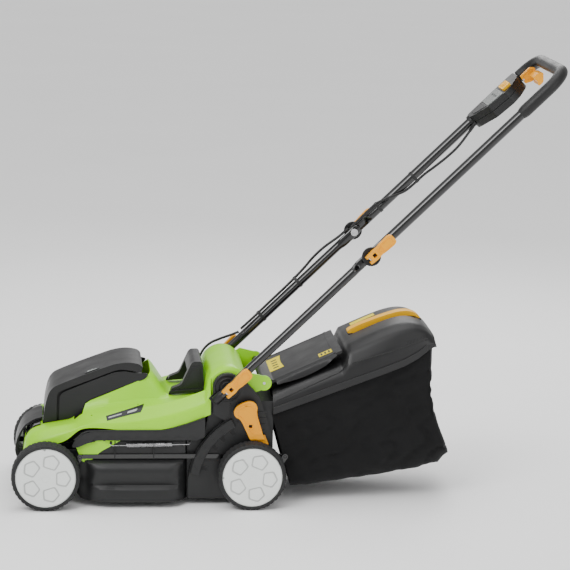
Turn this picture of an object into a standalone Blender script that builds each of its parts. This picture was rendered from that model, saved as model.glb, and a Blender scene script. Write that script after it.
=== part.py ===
"""Push lawn mower with a folding handle, height adjustment and a rear grass bag.

Metres, +Z up. The mower drives towards -X, its left side is at -Y, and it stands on Z = 0.
Every shape is written with X counted back from the front wheels' axle; the empty "mower"
moves the whole model so that the origin is the centre of its footprint.
"""

import math

import bmesh
import bpy
from mathutils import Matrix, Vector

# ---------------------------------------------------------------- driving dimensions
LENGTH = 1.205
WHEEL_R = 0.075
WHEELBASE = 0.451
WHEEL_IN = 0.152          # |Y| of a wheel's inner face
WHEEL_OUT = 0.195         # |Y| of a wheel's outer face
HUB_R = 0.0655

CRANK_X = 0.0315          # crank pivot behind its wheel centre
CRANK_Z = 0.046           # crank pivot above the ground
ARM_IN = 0.1465           # |Y| range of the crank plates
ARM_OUT = 0.1505
LINK_ARM = 0.078          # crank pivot to link rod pin
LINK_ANGLE = math.radians(56.5)

HANDLE_ANGLE = math.radians(44.3)
LOW_PIVOT = Vector((0.396, 0, 0.265))
MID_DISTANCE = 0.428      # lower pivot to middle pivot along the tube
BAR_X = 1.1145            # crossbar centre
TUBE_Y = 0.153            # |Y| of the tubes' centre lines
LOW_TUBE_R = 0.010
TOP_TUBE_R = 0.011
GRIP_R = 0.0155

BRACKET_IN = 0.1285
BRACKET_OUT = 0.1405
BLADE_X = 0.205
BLADE_R = 0.160
HINGE_X = 0.478           # rear flap rod
HINGE_Z = 0.272
LID_X = 0.205             # battery lid hinge
LID_Z = 0.288
LEVER_Y = 0.1765          # |Y| of a cam lever's pin
LEVER_BACK = 0.005        # pin below the bolt along the tube
CABLE_R = 0.003
GAP = 0.0004

FRONT_X = -LENGTH / 2 + WHEEL_R
ALONG = Vector((math.cos(HANDLE_ANGLE), 0, math.sin(HANDLE_ANGLE)))
ABOVE = Vector((-ALONG.z, 0, ALONG.x))
MID_PIVOT = LOW_PIVOT + ALONG * MID_DISTANCE
BAR_DISTANCE = (BAR_X - LOW_PIVOT.x) / ALONG.x

COLOURS = {
    "green": ((0.35, 0.72, 0.0), 0.35, 0.0),
    "black": ((0.02, 0.02, 0.022), 0.45, 0.0),
    "grey": ((0.06, 0.06, 0.065), 0.4, 0.0),
    "yellow": ((1.0, 0.55, 0.03), 0.4, 0.0),
    "white": ((0.8, 0.82, 0.8), 0.4, 0.0),
    "tyre": ((0.025, 0.025, 0.025), 0.8, 0.0),
    "steel": ((0.55, 0.55, 0.55), 0.3, 1.0),
    "tube": ((0.01, 0.01, 0.01), 0.15, 0.0),
    "cloth": ((0.012, 0.012, 0.012), 0.95, 0.0),
}


# ---------------------------------------------------------------- scene and helpers
def empty_scene():
    """Remove every object and make the collections for parts and cutters."""
    for thing in list(bpy.data.objects):
        bpy.data.objects.remove(thing)
    made = []
    for name in ("lawn_mower", "cutters"):
        made.append(bpy.data.collections.new(name))
        bpy.context.scene.collection.children.link(made[-1])
    return made


PARTS, CUTTERS = empty_scene()


def pivot(name, place, parent=None):
    """An empty on a joint's axis, which its moving pieces hang on."""
    empty = bpy.data.objects.new(name, None)
    empty.empty_display_size = 0.02
    PARTS.objects.link(empty)
    empty.location = place
    if parent:
        empty.parent = parent
        empty.location = Vector(place) - Vector(parent["place"])
    empty["place"] = tuple(place)
    return empty


def material(name):
    """The shared material of one colour."""
    found = bpy.data.materials.get(name)
    if found:
        return found
    colour, rough, metal = COLOURS[name]
    made = bpy.data.materials.new(name)
    made.use_nodes = True
    shader = made.node_tree.nodes["Principled BSDF"]
    shader.inputs["Base Color"].default_value = (*colour, 1)
    shader.inputs["Roughness"].default_value = rough
    shader.inputs["Metallic"].default_value = metal
    return made


def add_mesh(name, mesh, colour, parent):
    """Link a mesh as one named piece, hung on its joint's empty."""
    thing = bpy.data.objects.new(name, mesh)
    PARTS.objects.link(thing)
    thing.parent = parent
    thing.location = -Vector(parent["place"])
    mesh.materials.clear()
    mesh.materials.append(material(colour))
    mesh.shade_smooth()
    mesh.set_sharp_from_angle(angle=math.radians(35))
    return thing


def baked(thing):
    """The evaluated mesh of an object in world axes, with its caps welded; the object goes."""
    bpy.context.view_layer.update()
    graph = bpy.context.evaluated_depsgraph_get()
    mesh = bpy.data.meshes.new_from_object(thing.evaluated_get(graph))
    mesh.transform(thing.matrix_world)
    bpy.data.objects.remove(thing)
    work = bmesh.new()
    work.from_mesh(mesh)
    bmesh.ops.remove_doubles(work, verts=work.verts, dist=0.00002)
    bmesh.ops.recalc_face_normals(work, faces=work.faces)
    work.to_mesh(mesh)
    work.free()
    return mesh


def box_mesh(low, high):
    """A closed box between two corners."""
    size = Vector(high) - Vector(low)
    centre = (Vector(high) + Vector(low)) / 2
    work = bmesh.new()
    bmesh.ops.create_cube(work, size=1, matrix=Matrix.Translation(centre) @ Matrix.Diagonal((*size, 1)))
    mesh = bpy.data.meshes.new("box")
    work.to_mesh(mesh)
    work.free()
    return mesh


def rod_mesh(start, end, radius, sides=16):
    """A closed cylinder between two points."""
    start = Vector(start)
    end = Vector(end)
    turn = (end - start).to_track_quat("Z", "Y").to_matrix().to_4x4()
    work = bmesh.new()
    place = Matrix.Translation((start + end) / 2) @ turn
    bmesh.ops.create_cone(work, cap_ends=True, segments=sides, radius1=radius, radius2=radius,
                          depth=(end - start).length, matrix=place)
    mesh = bpy.data.meshes.new("rod")
    work.to_mesh(mesh)
    work.free()
    return mesh


def turned_mesh(profile, place, axis="Y", steps=24, closed=False):
    """A turned solid; profile is (radius, height) down its outer side, height along the axis."""
    mesh = bpy.data.meshes.new("turned")
    points = [(r, 0, h) for r, h in profile]
    edges = [(i, i + 1) for i in range(len(points) - 1)]
    if closed:
        edges.append((len(points) - 1, 0))
    mesh.from_pydata(points, edges, [])
    thing = bpy.data.objects.new("turned", mesh)
    bpy.context.scene.collection.objects.link(thing)
    screw = thing.modifiers.new("turn", "SCREW")
    screw.steps = steps
    screw.render_steps = steps
    screw.use_merge_vertices = True
    screw.merge_threshold = 0.00001
    if axis == "Y":
        thing.rotation_euler = (-math.pi / 2, 0, 0)
    thing.location = place
    return baked(thing)


def plate_mesh(outline, low, high, holes=(), axis="Y"):
    """A flat outline in XZ (or XY for axis Z) with round holes, as thick as low to high along the axis."""
    curve = bpy.data.curves.new("outline", "CURVE")
    curve.dimensions = "2D"
    curve.fill_mode = "BOTH"
    curve.extrude = abs(high - low) / 2
    loops = [outline]
    for x, z, radius in holes:
        loops.append([(x + radius * math.cos(a), z + radius * math.sin(a)) for a in angles(16)])
    for loop in loops:
        spline = curve.splines.new("POLY")
        spline.points.add(len(loop) - 1)
        spline.use_cyclic_u = True
        for point, (x, z) in zip(spline.points, loop):
            point.co = (x, z, 0, 1)
    thing = bpy.data.objects.new("outline", curve)
    bpy.context.scene.collection.objects.link(thing)
    middle = (low + high) / 2
    if axis == "Y":
        thing.rotation_euler = (math.pi / 2, 0, 0)
        thing.location = (0, middle, 0)
    else:
        thing.location = (0, 0, middle)
    return baked(thing)


def wire_mesh(points, radius, sides=2, closed=False):
    """A round wire or tube along points."""
    curve = bpy.data.curves.new("wire", "CURVE")
    curve.dimensions = "3D"
    curve.bevel_depth = radius
    curve.bevel_resolution = sides
    curve.use_fill_caps = True
    curve.render_resolution_u = 0
    spline = curve.splines.new("POLY")
    spline.points.add(len(points) - 1)
    spline.use_cyclic_u = closed
    for point, co in zip(spline.points, points):
        point.co = (*co, 1)
    thing = bpy.data.objects.new("wire", curve)
    bpy.context.scene.collection.objects.link(thing)
    return baked(thing)


def loft_mesh(rings, caps=True, wrap=True):
    """Quads between successive rings of equal length, with flat end caps."""
    work = bmesh.new()
    rows = [[work.verts.new(p) for p in ring] for ring in rings]
    count = len(rows[0])
    for first, second in zip(rows, rows[1:]):
        for i in range(count if wrap else count - 1):
            j = (i + 1) % count
            work.faces.new((first[i], first[j], second[j], second[i]))
    if caps:
        work.faces.new(rows[0])
        work.faces.new(rows[-1])
    bmesh.ops.recalc_face_normals(work, faces=work.faces)
    mesh = bpy.data.meshes.new("loft")
    work.to_mesh(mesh)
    work.free()
    return mesh


def boolean(thing, mesh, how="DIFFERENCE"):
    """Cut a mesh from a piece, or join it on."""
    tool = bpy.data.objects.new(thing.name + "_tool", mesh)
    CUTTERS.objects.link(tool)
    tool.location = Vector(MOWER.location)
    tool.hide_render = True
    tool.display_type = "WIRE"
    step = thing.modifiers.new(how.lower(), "BOOLEAN")
    step.operation = how
    step.solver = "EXACT"
    step.object = tool


def shell(thing, thickness):
    """Give an open surface its wall, inwards."""
    step = thing.modifiers.new("wall", "SOLIDIFY")
    step.thickness = thickness
    step.offset = -1
    step.use_even_offset = True


def angles(count, start=0.0, sweep=2 * math.pi):
    """Evenly spaced angles."""
    return [start + sweep * i / count for i in range(count)]


def arc(x, z, radius, first, last, count):
    """Points of an arc in degrees, both ends included."""
    turns = [math.radians(first + (last - first) * i / (count - 1)) for i in range(count)]
    return [(x + radius * math.cos(a), z + radius * math.sin(a)) for a in turns]


def smooth(points, per_span):
    """A Catmull-Rom curve through the points."""
    route = [Vector(p) for p in points]
    padded = [route[0]] + route + [route[-1]]
    out = []
    for a, b, c, d in zip(padded, padded[1:], padded[2:], padded[3:]):
        for i in range(per_span):
            t = i / per_span
            out.append(0.5 * (2 * b + (c - a) * t + (2 * a - 5 * b + 4 * c - d) * t ** 2
                              + (3 * b - a - 3 * c + d) * t ** 3))
    out.append(route[-1])
    return out


def on_side(side, x, y, z):
    """A point at |Y| = y on the left (-1) or right (+1) side."""
    return (x, side * y, z)


def between(side, first, second):
    """Low and high Y of a layer on one side."""
    return sorted((side * first, side * second))


SIDES = {"left": -1, "right": 1}


# ---------------------------------------------------------------- joints
MOWER = pivot("mower", (0, 0, 0))
MOWER.location = (FRONT_X, 0, 0)
LID = pivot("lid_hinge", (LID_X, 0, LID_Z), MOWER)
BLADE = pivot("blade_spin", (BLADE_X, 0, 0.04), MOWER)
FLAP = pivot("flap_hinge", (HINGE_X, 0, HINGE_Z), MOWER)
BAG = pivot("bag_slide", (0.49, 0, 0.25), MOWER)
LOWER = pivot("lower_fold", LOW_PIVOT, MOWER)
UPPER = pivot("upper_fold", MID_PIVOT, LOWER)
CRANKS = {
    "front": pivot("front_crank", (CRANK_X, 0, CRANK_Z), MOWER),
    "rear": pivot("rear_crank", (WHEELBASE + CRANK_X, 0, CRANK_Z), MOWER),
}
AXLES = {"front": 0.0, "rear": WHEELBASE}


# ---------------------------------------------------------------- wheels and axles
def wheels():
    """Four wheels: a tyre on a dished hub that turns on its stub axle."""
    for end, axle_x in AXLES.items():
        for side, sign in SIDES.items():
            spin = pivot(f"{end}_{side}_spin", (axle_x, 0, WHEEL_R), CRANKS[end])
            inner = 0.0663
            wide = WHEEL_OUT - 0.0015
            tyre = [(WHEEL_R - 0.004, wide), (WHEEL_R, wide - 0.006), (WHEEL_R, WHEEL_IN + 0.006),
                    (WHEEL_R - 0.004, WHEEL_IN), (inner, WHEEL_IN), (inner, wide)]
            hub = [(0, WHEEL_OUT), (0.056, WHEEL_OUT), (HUB_R, WHEEL_OUT - 0.004), (HUB_R, 0.156),
                   (0.0625, 0.156), (0.0625, 0.188), (0.016, 0.188), (0.016, 0.153),
                   (0.0065, 0.153), (0.0065, 0.1875), (0, 0.1875)]
            for name, profile, colour, steps in (("tyre", tyre, "tyre", 40), ("hub", hub, "white", 24)):
                mesh = turned_mesh(profile, (axle_x, 0, WHEEL_R), steps=steps, closed=name == "tyre")
                if sign < 0:
                    mirrored(mesh)
                add_mesh(f"{end}_{side}_{name}", mesh, colour, spin)


def mirrored(mesh):
    """Mirror a mesh to the other side of Y = 0."""
    mesh.transform(Matrix.Diagonal((1, -1, 1, 1)))
    mesh.flip_normals()


def crank_plate(pivot_x, arms):
    """Outline of a crank: round-ended arms (length, angle, half width) around a round boss."""
    def spot(turn, distance, centre=(pivot_x, CRANK_Z)):
        return (centre[0] + distance * math.cos(turn), centre[1] + distance * math.sin(turn))
    boss = 0.0115
    outline = []
    for number, (length, turn, half) in enumerate(arms):
        tip = spot(turn, length)
        outline += [spot(a, half, tip) for a in angles(7, turn - math.pi / 2, math.pi * 7 / 6)]
        if number + 1 < len(arms):
            spread = (arms[number + 1][1] - turn) / 2
            outline.append(spot(turn + spread, 1.04 * max(half, arms[number + 1][2]) / math.sin(spread)))
    first = arms[-1][1] + math.asin(arms[-1][2] / boss)
    last = arms[0][1] - math.asin(arms[0][2] / boss) + 2 * math.pi
    outline += [spot(a, boss) for a in angles(9, first, (last - first) * 9 / 8)]
    return outline


def axles():
    """Front and rear crank axles: cross rod, a plate at each end and the wheels' stub axles."""
    wheel_arm = math.atan2(WHEEL_R - CRANK_Z, -CRANK_X)
    wheel_length = math.hypot(CRANK_X, WHEEL_R - CRANK_Z)
    for end, axle_x in AXLES.items():
        x = axle_x + CRANK_X
        rod = rod_mesh((x, -ARM_IN - 0.002, CRANK_Z), (x, ARM_IN + 0.002, CRANK_Z), 0.005)
        axle = add_mesh(f"{end}_axle", rod, "steel", CRANKS[end])
        for side, sign in SIDES.items():
            arms = [(wheel_length, wheel_arm, 0.0085)]
            holes = []
            if side == "left":
                arms.insert(0, (LINK_ARM, LINK_ANGLE, 0.0065))
                holes.append((x + LINK_ARM * math.cos(LINK_ANGLE),
                              CRANK_Z + LINK_ARM * math.sin(LINK_ANGLE), 0.0034))
                if end == "rear":
                    arms.insert(1, (0.044, math.radians(104), 0.0075))
            low, high = between(sign, ARM_IN, ARM_OUT)
            boolean(axle, plate_mesh(crank_plate(x, arms), low, high, holes), "UNION")
            stub = rod_mesh((axle_x, sign * (ARM_IN + 0.001), WHEEL_R), (axle_x, sign * 0.186, WHEEL_R), 0.006)
            boolean(axle, stub, "UNION")


def height_lever():
    """Cutting height lever on the left end of the rear crank, stepped outwards past the tyre."""
    strap = [(0.4655, 0.0985), (0.4815, 0.1025), (0.488, 0.141), (0.480, 0.160), (0.446, 0.160), (0.4530, 0.130)]
    lever = add_mesh("height_lever", plate_mesh(strap, -ARM_OUT, -ARM_IN), "yellow", CRANKS["rear"])
    head = [(0.4390, 0.1530), (0.4800, 0.1530), (0.4760, 0.1600), (0.4700, 0.180), (0.4600, 0.214), (0.4620, 0.226),
            (0.4560, 0.2360), (0.4440, 0.2395), (0.4280, 0.2350), (0.4140, 0.2260), (0.4090, 0.2120),
            (0.4150, 0.2020), (0.4230, 0.1990)]
    boolean(lever, plate_mesh(head, -0.160, -0.152), "UNION")
    boolean(lever, box_mesh((0.4500, -0.158, 0.1525), (0.4700, -0.1475, 0.1590)), "UNION")
    boolean(lever, box_mesh((0.4430, -0.162, 0.178), (0.4510, -0.150, 0.187)))


def link_rod():
    """Flat rod that joins the two cranks' upper arms, with a pin at each end."""
    dx = LINK_ARM * math.cos(LINK_ANGLE)
    z = CRANK_Z + LINK_ARM * math.sin(LINK_ANGLE)
    ends = [CRANK_X + dx, WHEELBASE + CRANK_X + dx]
    hinge = pivot("link_pin", (ends[1], 0, z), CRANKS["rear"])
    outline = arc(ends[0], z, 0.005, 90, 270, 7) + arc(ends[1], z, 0.005, -90, 90, 7)
    rod = add_mesh("link_rod", plate_mesh(outline, -0.1438, -0.1412), "black", hinge)
    for x in ends:
        boolean(rod, rod_mesh((x, -0.1430, z), (x, -0.1500, z), 0.003, 12), "UNION")


def balance_spring():
    """Tension spring that carries part of the deck's weight, with a hook wire at each end."""
    y = -0.1475
    rings = []
    for x, z, radius in ((0.142, 0.1368, 0.0012), (0.172, 0.1368, 0.0012), (0.176, 0.1368, 0.0052),
                         (0.276, 0.1385, 0.0052), (0.280, 0.1385, 0.0012), (0.316, 0.1395, 0.0012)):
        rings.append([(x, y + radius * math.cos(a), z + radius * math.sin(a)) for a in angles(10)])
    add_mesh("balance_spring", loft_mesh(rings), "steel", MOWER)


# ---------------------------------------------------------------- deck and blade
def deck():
    """Moulded deck: blade skirt with a step and bulge, side flange, and the chute at the rear."""
    plan = [(-0.040, 0.085), (-0.025, 0.115), (0.000, 0.122), (0.075, 0.126), (0.090, 0.150), (0.115, 0.165),
            (0.150, 0.170), (0.210, 0.170), (0.270, 0.170), (0.292, 0.160), (0.310, 0.1275), (0.345, 0.1275),
            (0.362, 0.1275), (0.420, 0.1275), (0.500, 0.1275)]
    floor = [0.028, 0.028, 0.028, 0.028, 0.026, 0.018] + [0.014] * 9
    levels = [(0.040, 0.170), (0.050, 0.160), (0.082, 0.166), (0.097, 0.158), (0.104, 0.139), (0.143, 0.139),
              (0.148, 0.150), (0.168, 0.150)]
    heights = {"front": (0.050, 0.060, 0.070, 0.080, 0.090, 0.105, 0.115, 0.122),
               "middle": tuple(z for z, _ in levels),
               "rear": (0.040, 0.050, 0.082, 0.097, 0.104, 0.150, 0.190, 0.232)}
    rings = [[(x, -y, z) for (x, y), z in zip(plan, floor)]]
    for level, (_, widest) in enumerate(levels):
        ring = []
        for number, (x, y) in enumerate(plan):
            part = "front" if number < 4 else "rear" if number > 11 else "middle"
            across = y
            if 4 <= number <= 9:
                across = min(y, widest)
            if level >= 6 and number in (3, 4):
                across = 0.120 if number == 3 else 0.140
            if level >= 6 and 4 < number < 10:
                across = 0.150
            ring.append((x, -across, heights[part][level]))
        rings.append(ring)
    full = [ring + [(x, -y, z) for x, y, z in reversed(ring)] for ring in rings]
    work = bmesh.new()
    rows = [[work.verts.new(p) for p in ring] for ring in full]
    count = len(rows[0])
    for first, second in zip(rows, rows[1:]):
        for i in range(count):
            j = (i + 1) % count
            work.faces.new((first[i], first[j], second[j], second[i]))
    top = rows[-1]
    for i in range(count // 2 - 1):
        work.faces.new((top[i], top[i + 1], top[count - 2 - i], top[count - 1 - i]))
    bmesh.ops.recalc_face_normals(work, faces=work.faces)
    if sum(face.normal.z for face in work.faces[-(count // 2 - 1):]) < 0:
        bmesh.ops.reverse_faces(work, faces=work.faces)
    mesh = bpy.data.meshes.new("deck")
    work.to_mesh(mesh)
    work.free()
    body = add_mesh("deck", mesh, "black", MOWER)
    shell(body, 0.003)
    boolean(body, rod_mesh((BLADE_X, 0, 0.150), (BLADE_X, 0, 0.190), 0.0305, 24))
    boolean(body, box_mesh((0.470, -0.110, 0.075), (0.530, 0.110, 0.212)))
    for axle_x in AXLES.values():
        x = axle_x + CRANK_X
        boolean(body, rod_mesh((x, -0.19, CRANK_Z), (x, 0.19, CRANK_Z), 0.0060))


def drive():
    """Motor on the deck, its shaft, the blade carrier, the blade and its bolt."""
    place = (BLADE_X, 0, 0)
    motor = [(0, 0.205), (0.036, 0.205), (0.042, 0.198), (0.042, 0.1690), (0.0300, 0.1690), (0.0300, 0.110),
             (0.0066, 0.110), (0.0066, 0.158), (0, 0.158)]
    add_mesh("motor", turned_mesh(motor, place, "Z", 32), "steel", MOWER)
    add_mesh("motor_shaft", rod_mesh((BLADE_X, 0, 0.048), (BLADE_X, 0, 0.155), 0.006), "steel", BLADE)
    hub = [(0.0064, 0.090), (0.012, 0.090), (0.018, 0.060), (0.024, 0.056), (0.024, 0.0425), (0.0064, 0.0425)]
    add_mesh("blade_hub", turned_mesh(hub, place, "Z", 24, closed=True), "black", BLADE)
    half = BLADE_R
    outline = [(-half, -0.012), (-half + 0.012, -0.024), (-half + 0.070, -0.024), (-0.040, -0.020), (0.040, -0.020),
               (half - 0.018, -0.020), (half, -0.008), (half, 0.012), (half - 0.012, 0.024), (half - 0.070, 0.024),
               (0.040, 0.020), (-0.040, 0.020), (-half + 0.018, 0.020), (-half, 0.008)]
    outline = [(BLADE_X + x, y) for x, y in outline]
    mesh = plate_mesh(outline, 0.0385, 0.0420, [(BLADE_X, 0, 0.0046)], "Z")
    add_mesh("blade", mesh, "steel", BLADE)
    bolt = [(0, 0.0470), (0.004, 0.0470), (0.004, 0.0380), (0.011, 0.0380), (0.011, 0.0320), (0, 0.0320)]
    add_mesh("blade_bolt", turned_mesh(bolt, place, "Z", 12), "steel", BLADE)


# ---------------------------------------------------------------- covers
def section(x, points):
    """One arch of the cover: (y, z) points from the middle to an edge, mirrored."""
    right = [(x, y, z) for y, z in reversed(points)]
    return [(px, -py, pz) for px, py, pz in right] + [(px, py, pz) for px, py, pz in reversed(right)]


def top_cover():
    """Green cover: front cowl, battery housing, shoulders, side skirts and the round rear hump."""
    rows = [
        (-0.0510, [(0.070, 0.095), (0.085, 0.094), (0.100, 0.093), (0.112, 0.092), (0.114, 0.091)]),
        (-0.0470, [(0.070, 0.150), (0.088, 0.149), (0.104, 0.142), (0.117, 0.128), (0.119, 0.110)]),
        (-0.0250, [(0.072, 0.166), (0.092, 0.166), (0.116, 0.160), (0.130, 0.142), (0.132, 0.134)]),
        (0.0000, [(0.076, 0.171), (0.098, 0.171), (0.122, 0.168), (0.137, 0.148), (0.139, 0.136)]),
        (0.0450, [(0.080, 0.178), (0.098, 0.180), (0.124, 0.179), (0.141, 0.160), (0.143, 0.148)]),
        (0.0750, [(0.066, 0.262), (0.088, 0.205), (0.125, 0.186), (0.144, 0.181), (0.146, 0.1735)]),
        (0.1200, [(0.066, 0.285), (0.094, 0.212), (0.126, 0.197), (0.145, 0.184), (0.147, 0.1735)]),
        (0.1800, [(0.066, 0.300), (0.095, 0.225), (0.126, 0.209), (0.145, 0.186), (0.147, 0.1730)]),
        (0.2150, [(0.064, 0.296), (0.092, 0.229), (0.126, 0.216), (0.145, 0.190), (0.147, 0.1730)]),
        (0.2450, [(0.058, 0.262), (0.086, 0.229), (0.126, 0.222), (0.145, 0.193), (0.147, 0.1730)]),
        (0.2750, [(0.058, 0.228), (0.088, 0.229), (0.124, 0.231), (0.144, 0.200), (0.146, 0.1780)]),
        (0.3400, [(0.060, 0.236), (0.088, 0.238), (0.120, 0.252), (0.141, 0.222), (0.143, 0.1960)]),
        (0.3505, [(0.060, 0.239), (0.088, 0.241), (0.120, 0.257), (0.141, 0.230), (0.143, 0.2010)]),
    ]
    centre_x, centre_z, radius = 0.398, 0.264, 0.047
    for x, edge in ((0.3516, 0.2015), (0.3545, 0.2030), (0.3600, 0.2050)):
        top = centre_z + math.sqrt(radius ** 2 - (x - centre_x) ** 2)
        rows.append((x, [(0.106, top), (0.118, top - 0.003), (0.1245, top - 0.010), (0.1410, 0.235), (0.1430, edge)]))
    for x in (0.3620, 0.3720, 0.3850, 0.3980, 0.4110, 0.4240, 0.4360, 0.4420):
        top = centre_z + math.sqrt(radius ** 2 - (x - centre_x) ** 2)
        rows.append((x, [(0.106, top), (0.118, top - 0.003), (0.1245, top - 0.010), (0.1265, 0.252), (0.1270, 0.240)]))
    rows.append((0.4452, [(0.106, 0.243), (0.118, 0.2425), (0.1245, 0.242), (0.1265, 0.241), (0.1270, 0.240)]))
    mesh = loft_mesh([section(x, points) for x, points in rows], caps=False, wrap=False)
    outward(mesh)
    cover = add_mesh("top_cover", mesh, "green", MOWER)
    shell(cover, 0.0025)
    well = [(0.0625, 0.150), (0.066, 0.160), (0.087, 0.216), (0.098, 0.223), (0.219, 0.273), (0.230, 0.284),
            (0.2335, 0.297), (0.2245, 0.309), (0.200, 0.330), (0.060, 0.330)]
    boolean(cover, plate_mesh(well, -0.100, 0.100))
    boolean(cover, box_mesh((-0.0075, -0.0800, 0.140), (0.0640, 0.0800, 0.330)))
    for sign in SIDES.values():
        low, high = between(sign, 0.1200, 0.1270)
        lug = arc(HINGE_X, HINGE_Z, 0.0165, -110, 100, 9) + [(0.440, 0.296), (0.436, 0.250)]
        boolean(cover, plate_mesh(lug, low, high, [(HINGE_X, HINGE_Z, 0.0035)]), "UNION")
        low, high = between(sign, 0.118, 0.140)
        boolean(cover, rod_mesh((LOW_PIVOT.x, low, LOW_PIVOT.z), (LOW_PIVOT.x, high, LOW_PIVOT.z), 0.0046))


def outward(mesh):
    """Turn an arch's faces so that they point up and out."""
    highest = max(mesh.polygons, key=lambda face: face.center.z)
    if highest.normal.z < 0:
        mesh.flip_normals()


def front_handle():
    """Curved bar across the nose, held away from the cover, used as bumper and carrying grip."""
    outer = [(-0.052, 0.076), (-0.062, 0.082), (-0.0680, 0.100), (-0.0665, 0.116), (-0.0600, 0.137), (-0.0490, 0.156),
             (-0.0380, 0.1655), (-0.0240, 0.1735), (-0.0080, 0.1780)]
    inner = [(-0.0080, 0.1735), (-0.0225, 0.1690), (-0.0355, 0.1625), (-0.0465, 0.1530), (-0.0560, 0.1350),
             (-0.0605, 0.1140), (-0.0610, 0.1010), (-0.0570, 0.0900), (-0.0520, 0.0860)]
    bar = add_mesh("front_handle", plate_mesh(outer + inner, -0.054, 0.054), "black", MOWER)
    for sign in SIDES.values():
        low, high = between(sign, 0.042, 0.050)
        boolean(bar, box_mesh((-0.0650, low, 0.0960), (-0.0525, high, 0.1080)), "UNION")


def carry_handle():
    """Handle arch over the middle of the cover with a finger opening below its bar."""
    side = [(0.2745, 0.2370), (0.277, 0.246), (0.299, 0.255), (0.320, 0.302), (0.326, 0.307), (0.342, 0.307),
            (0.346, 0.301), (0.3495, 0.250), (0.3490, 0.2440)]
    handle = add_mesh("carry_handle", plate_mesh(side, -0.068, 0.068), "black", MOWER)
    boolean(handle, box_mesh((0.260, -0.048, 0.225), (0.360, 0.048, 0.284)))


def battery_bay():
    """Open-topped battery bay, two battery packs, the safety key and the hinged lid."""
    bay = [(0.003, 0.172), (0.152, 0.172), (0.160, 0.235), (0.205, 0.258), (0.2130, 0.2690), (0.189, 0.2735),
           (0.184, 0.295), (0.150, 0.292), (0.080, 0.2675), (0.030, 0.2460), (0.0135, 0.2350), (0.0045, 0.205)]
    tray = add_mesh("battery_bay", plate_mesh(bay, -0.070, 0.070), "black", MOWER)
    boolean(tray, box_mesh((0.008, -0.067, 0.1745), (0.148, 0.067, 0.320)))
    for side, sign in SIDES.items():
        low, high = between(sign, 0.003, 0.063)
        pack = [(0.018, 0.1755), (0.132, 0.1755), (0.132, 0.236), (0.126, 0.242), (0.060, 0.242), (0.018, 0.228)]
        add_mesh(f"battery_pack_{side}", plate_mesh(pack, low, high), "grey", MOWER)
    key = [(0.136, 0.1755), (0.144, 0.1755), (0.144, 0.200), (0.147, 0.204), (0.147, 0.222), (0.1345, 0.222),
           (0.1345, 0.204)]
    add_mesh("safety_key", plate_mesh(key, -0.012, 0.012), "yellow", MOWER)
    top = [(-0.006, 0.160), (-0.001, 0.212), (0.004, 0.232), (0.012, 0.246), (0.027, 0.2565), (0.080, 0.278),
           (0.130, 0.2965), (0.154, 0.304), (0.180, 0.3070), (0.203, 0.3035), (0.2125, 0.296)]
    rim = [(0.2110, 0.289), (0.205, 0.285), (0.173, 0.2905), (0.150, 0.288), (0.101, 0.269), (0.036, 0.244),
           (0.026, 0.235), (0.024, 0.222), (0.024, 0.160)]
    lid = add_mesh("battery_lid", plate_mesh(top + rim, -0.0775, 0.0775), "grey", LID)
    hollow = [(-0.003, 0.150), (0.0020, 0.2115), (0.0068, 0.2308), (0.0142, 0.2435), (0.0280, 0.2536),
              (0.0810, 0.2750), (0.1310, 0.2935), (0.1546, 0.3010), (0.1800, 0.3040), (0.2000, 0.3010),
              (0.2030, 0.270), (0.060, 0.150)]
    boolean(lid, plate_mesh(hollow, -0.0745, 0.0745))


def control_board():
    """Motor control board under the cover."""
    board = [(0.262, 0.188), (0.332, 0.188), (0.332, 0.194), (0.262, 0.194)]
    add_mesh("control_board", plate_mesh(board, -0.050, 0.050), "green", MOWER)


# ---------------------------------------------------------------- side brackets
def brackets():
    """Side brackets: the handle's pivot dome above, and the height quadrant around the rear wheel."""
    crank_x = WHEELBASE + CRANK_X
    band = arc(crank_x, CRANK_Z, 0.170, 122, 169.0, 9)
    outline = arc(LOW_PIVOT.x, LOW_PIVOT.z, 0.0325, 165, 60, 9) + [(0.430, 0.284), (0.452, 0.262), (0.468, 0.244)]
    outline += [(0.486, 0.190), (0.497, 0.150), (0.500, 0.110), (0.500, 0.014), (0.3120, 0.014), (0.3125, 0.060)]
    outline += list(reversed(band))[1:] + [(0.3660, 0.205)]
    for side, sign in SIDES.items():
        low, high = between(sign, BRACKET_IN, BRACKET_OUT)
        holes = [(LOW_PIVOT.x, LOW_PIVOT.z, 0.0046), (crank_x, CRANK_Z, 0.0058)]
        bracket = add_mesh(f"side_bracket_{side}", plate_mesh(outline, low, high, holes), "black", MOWER)
        low, high = between(sign, BRACKET_OUT - 0.002, 0.150)
        outer = arc(crank_x, CRANK_Z, 0.168, 117, 171, 12)
        inner = arc(crank_x, CRANK_Z, 0.147, 171, 117, 12)
        boolean(bracket, plate_mesh(outer + inner, low, high), "UNION")
        if side == "left":
            boolean(bracket, box_mesh((0.300, -0.1445, 0.100), (0.380, -0.1398, 0.1345)))
            for step in range(5):
                turn = math.radians(118.5 + 13.4 * step)
                x = crank_x + 0.138 * math.cos(turn)
                z = CRANK_Z + 0.138 * math.sin(turn)
                boolean(bracket, box_mesh((x - 0.005, -0.1600, z - 0.004), (x + 0.005, -0.1360, z + 0.004)))


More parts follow.
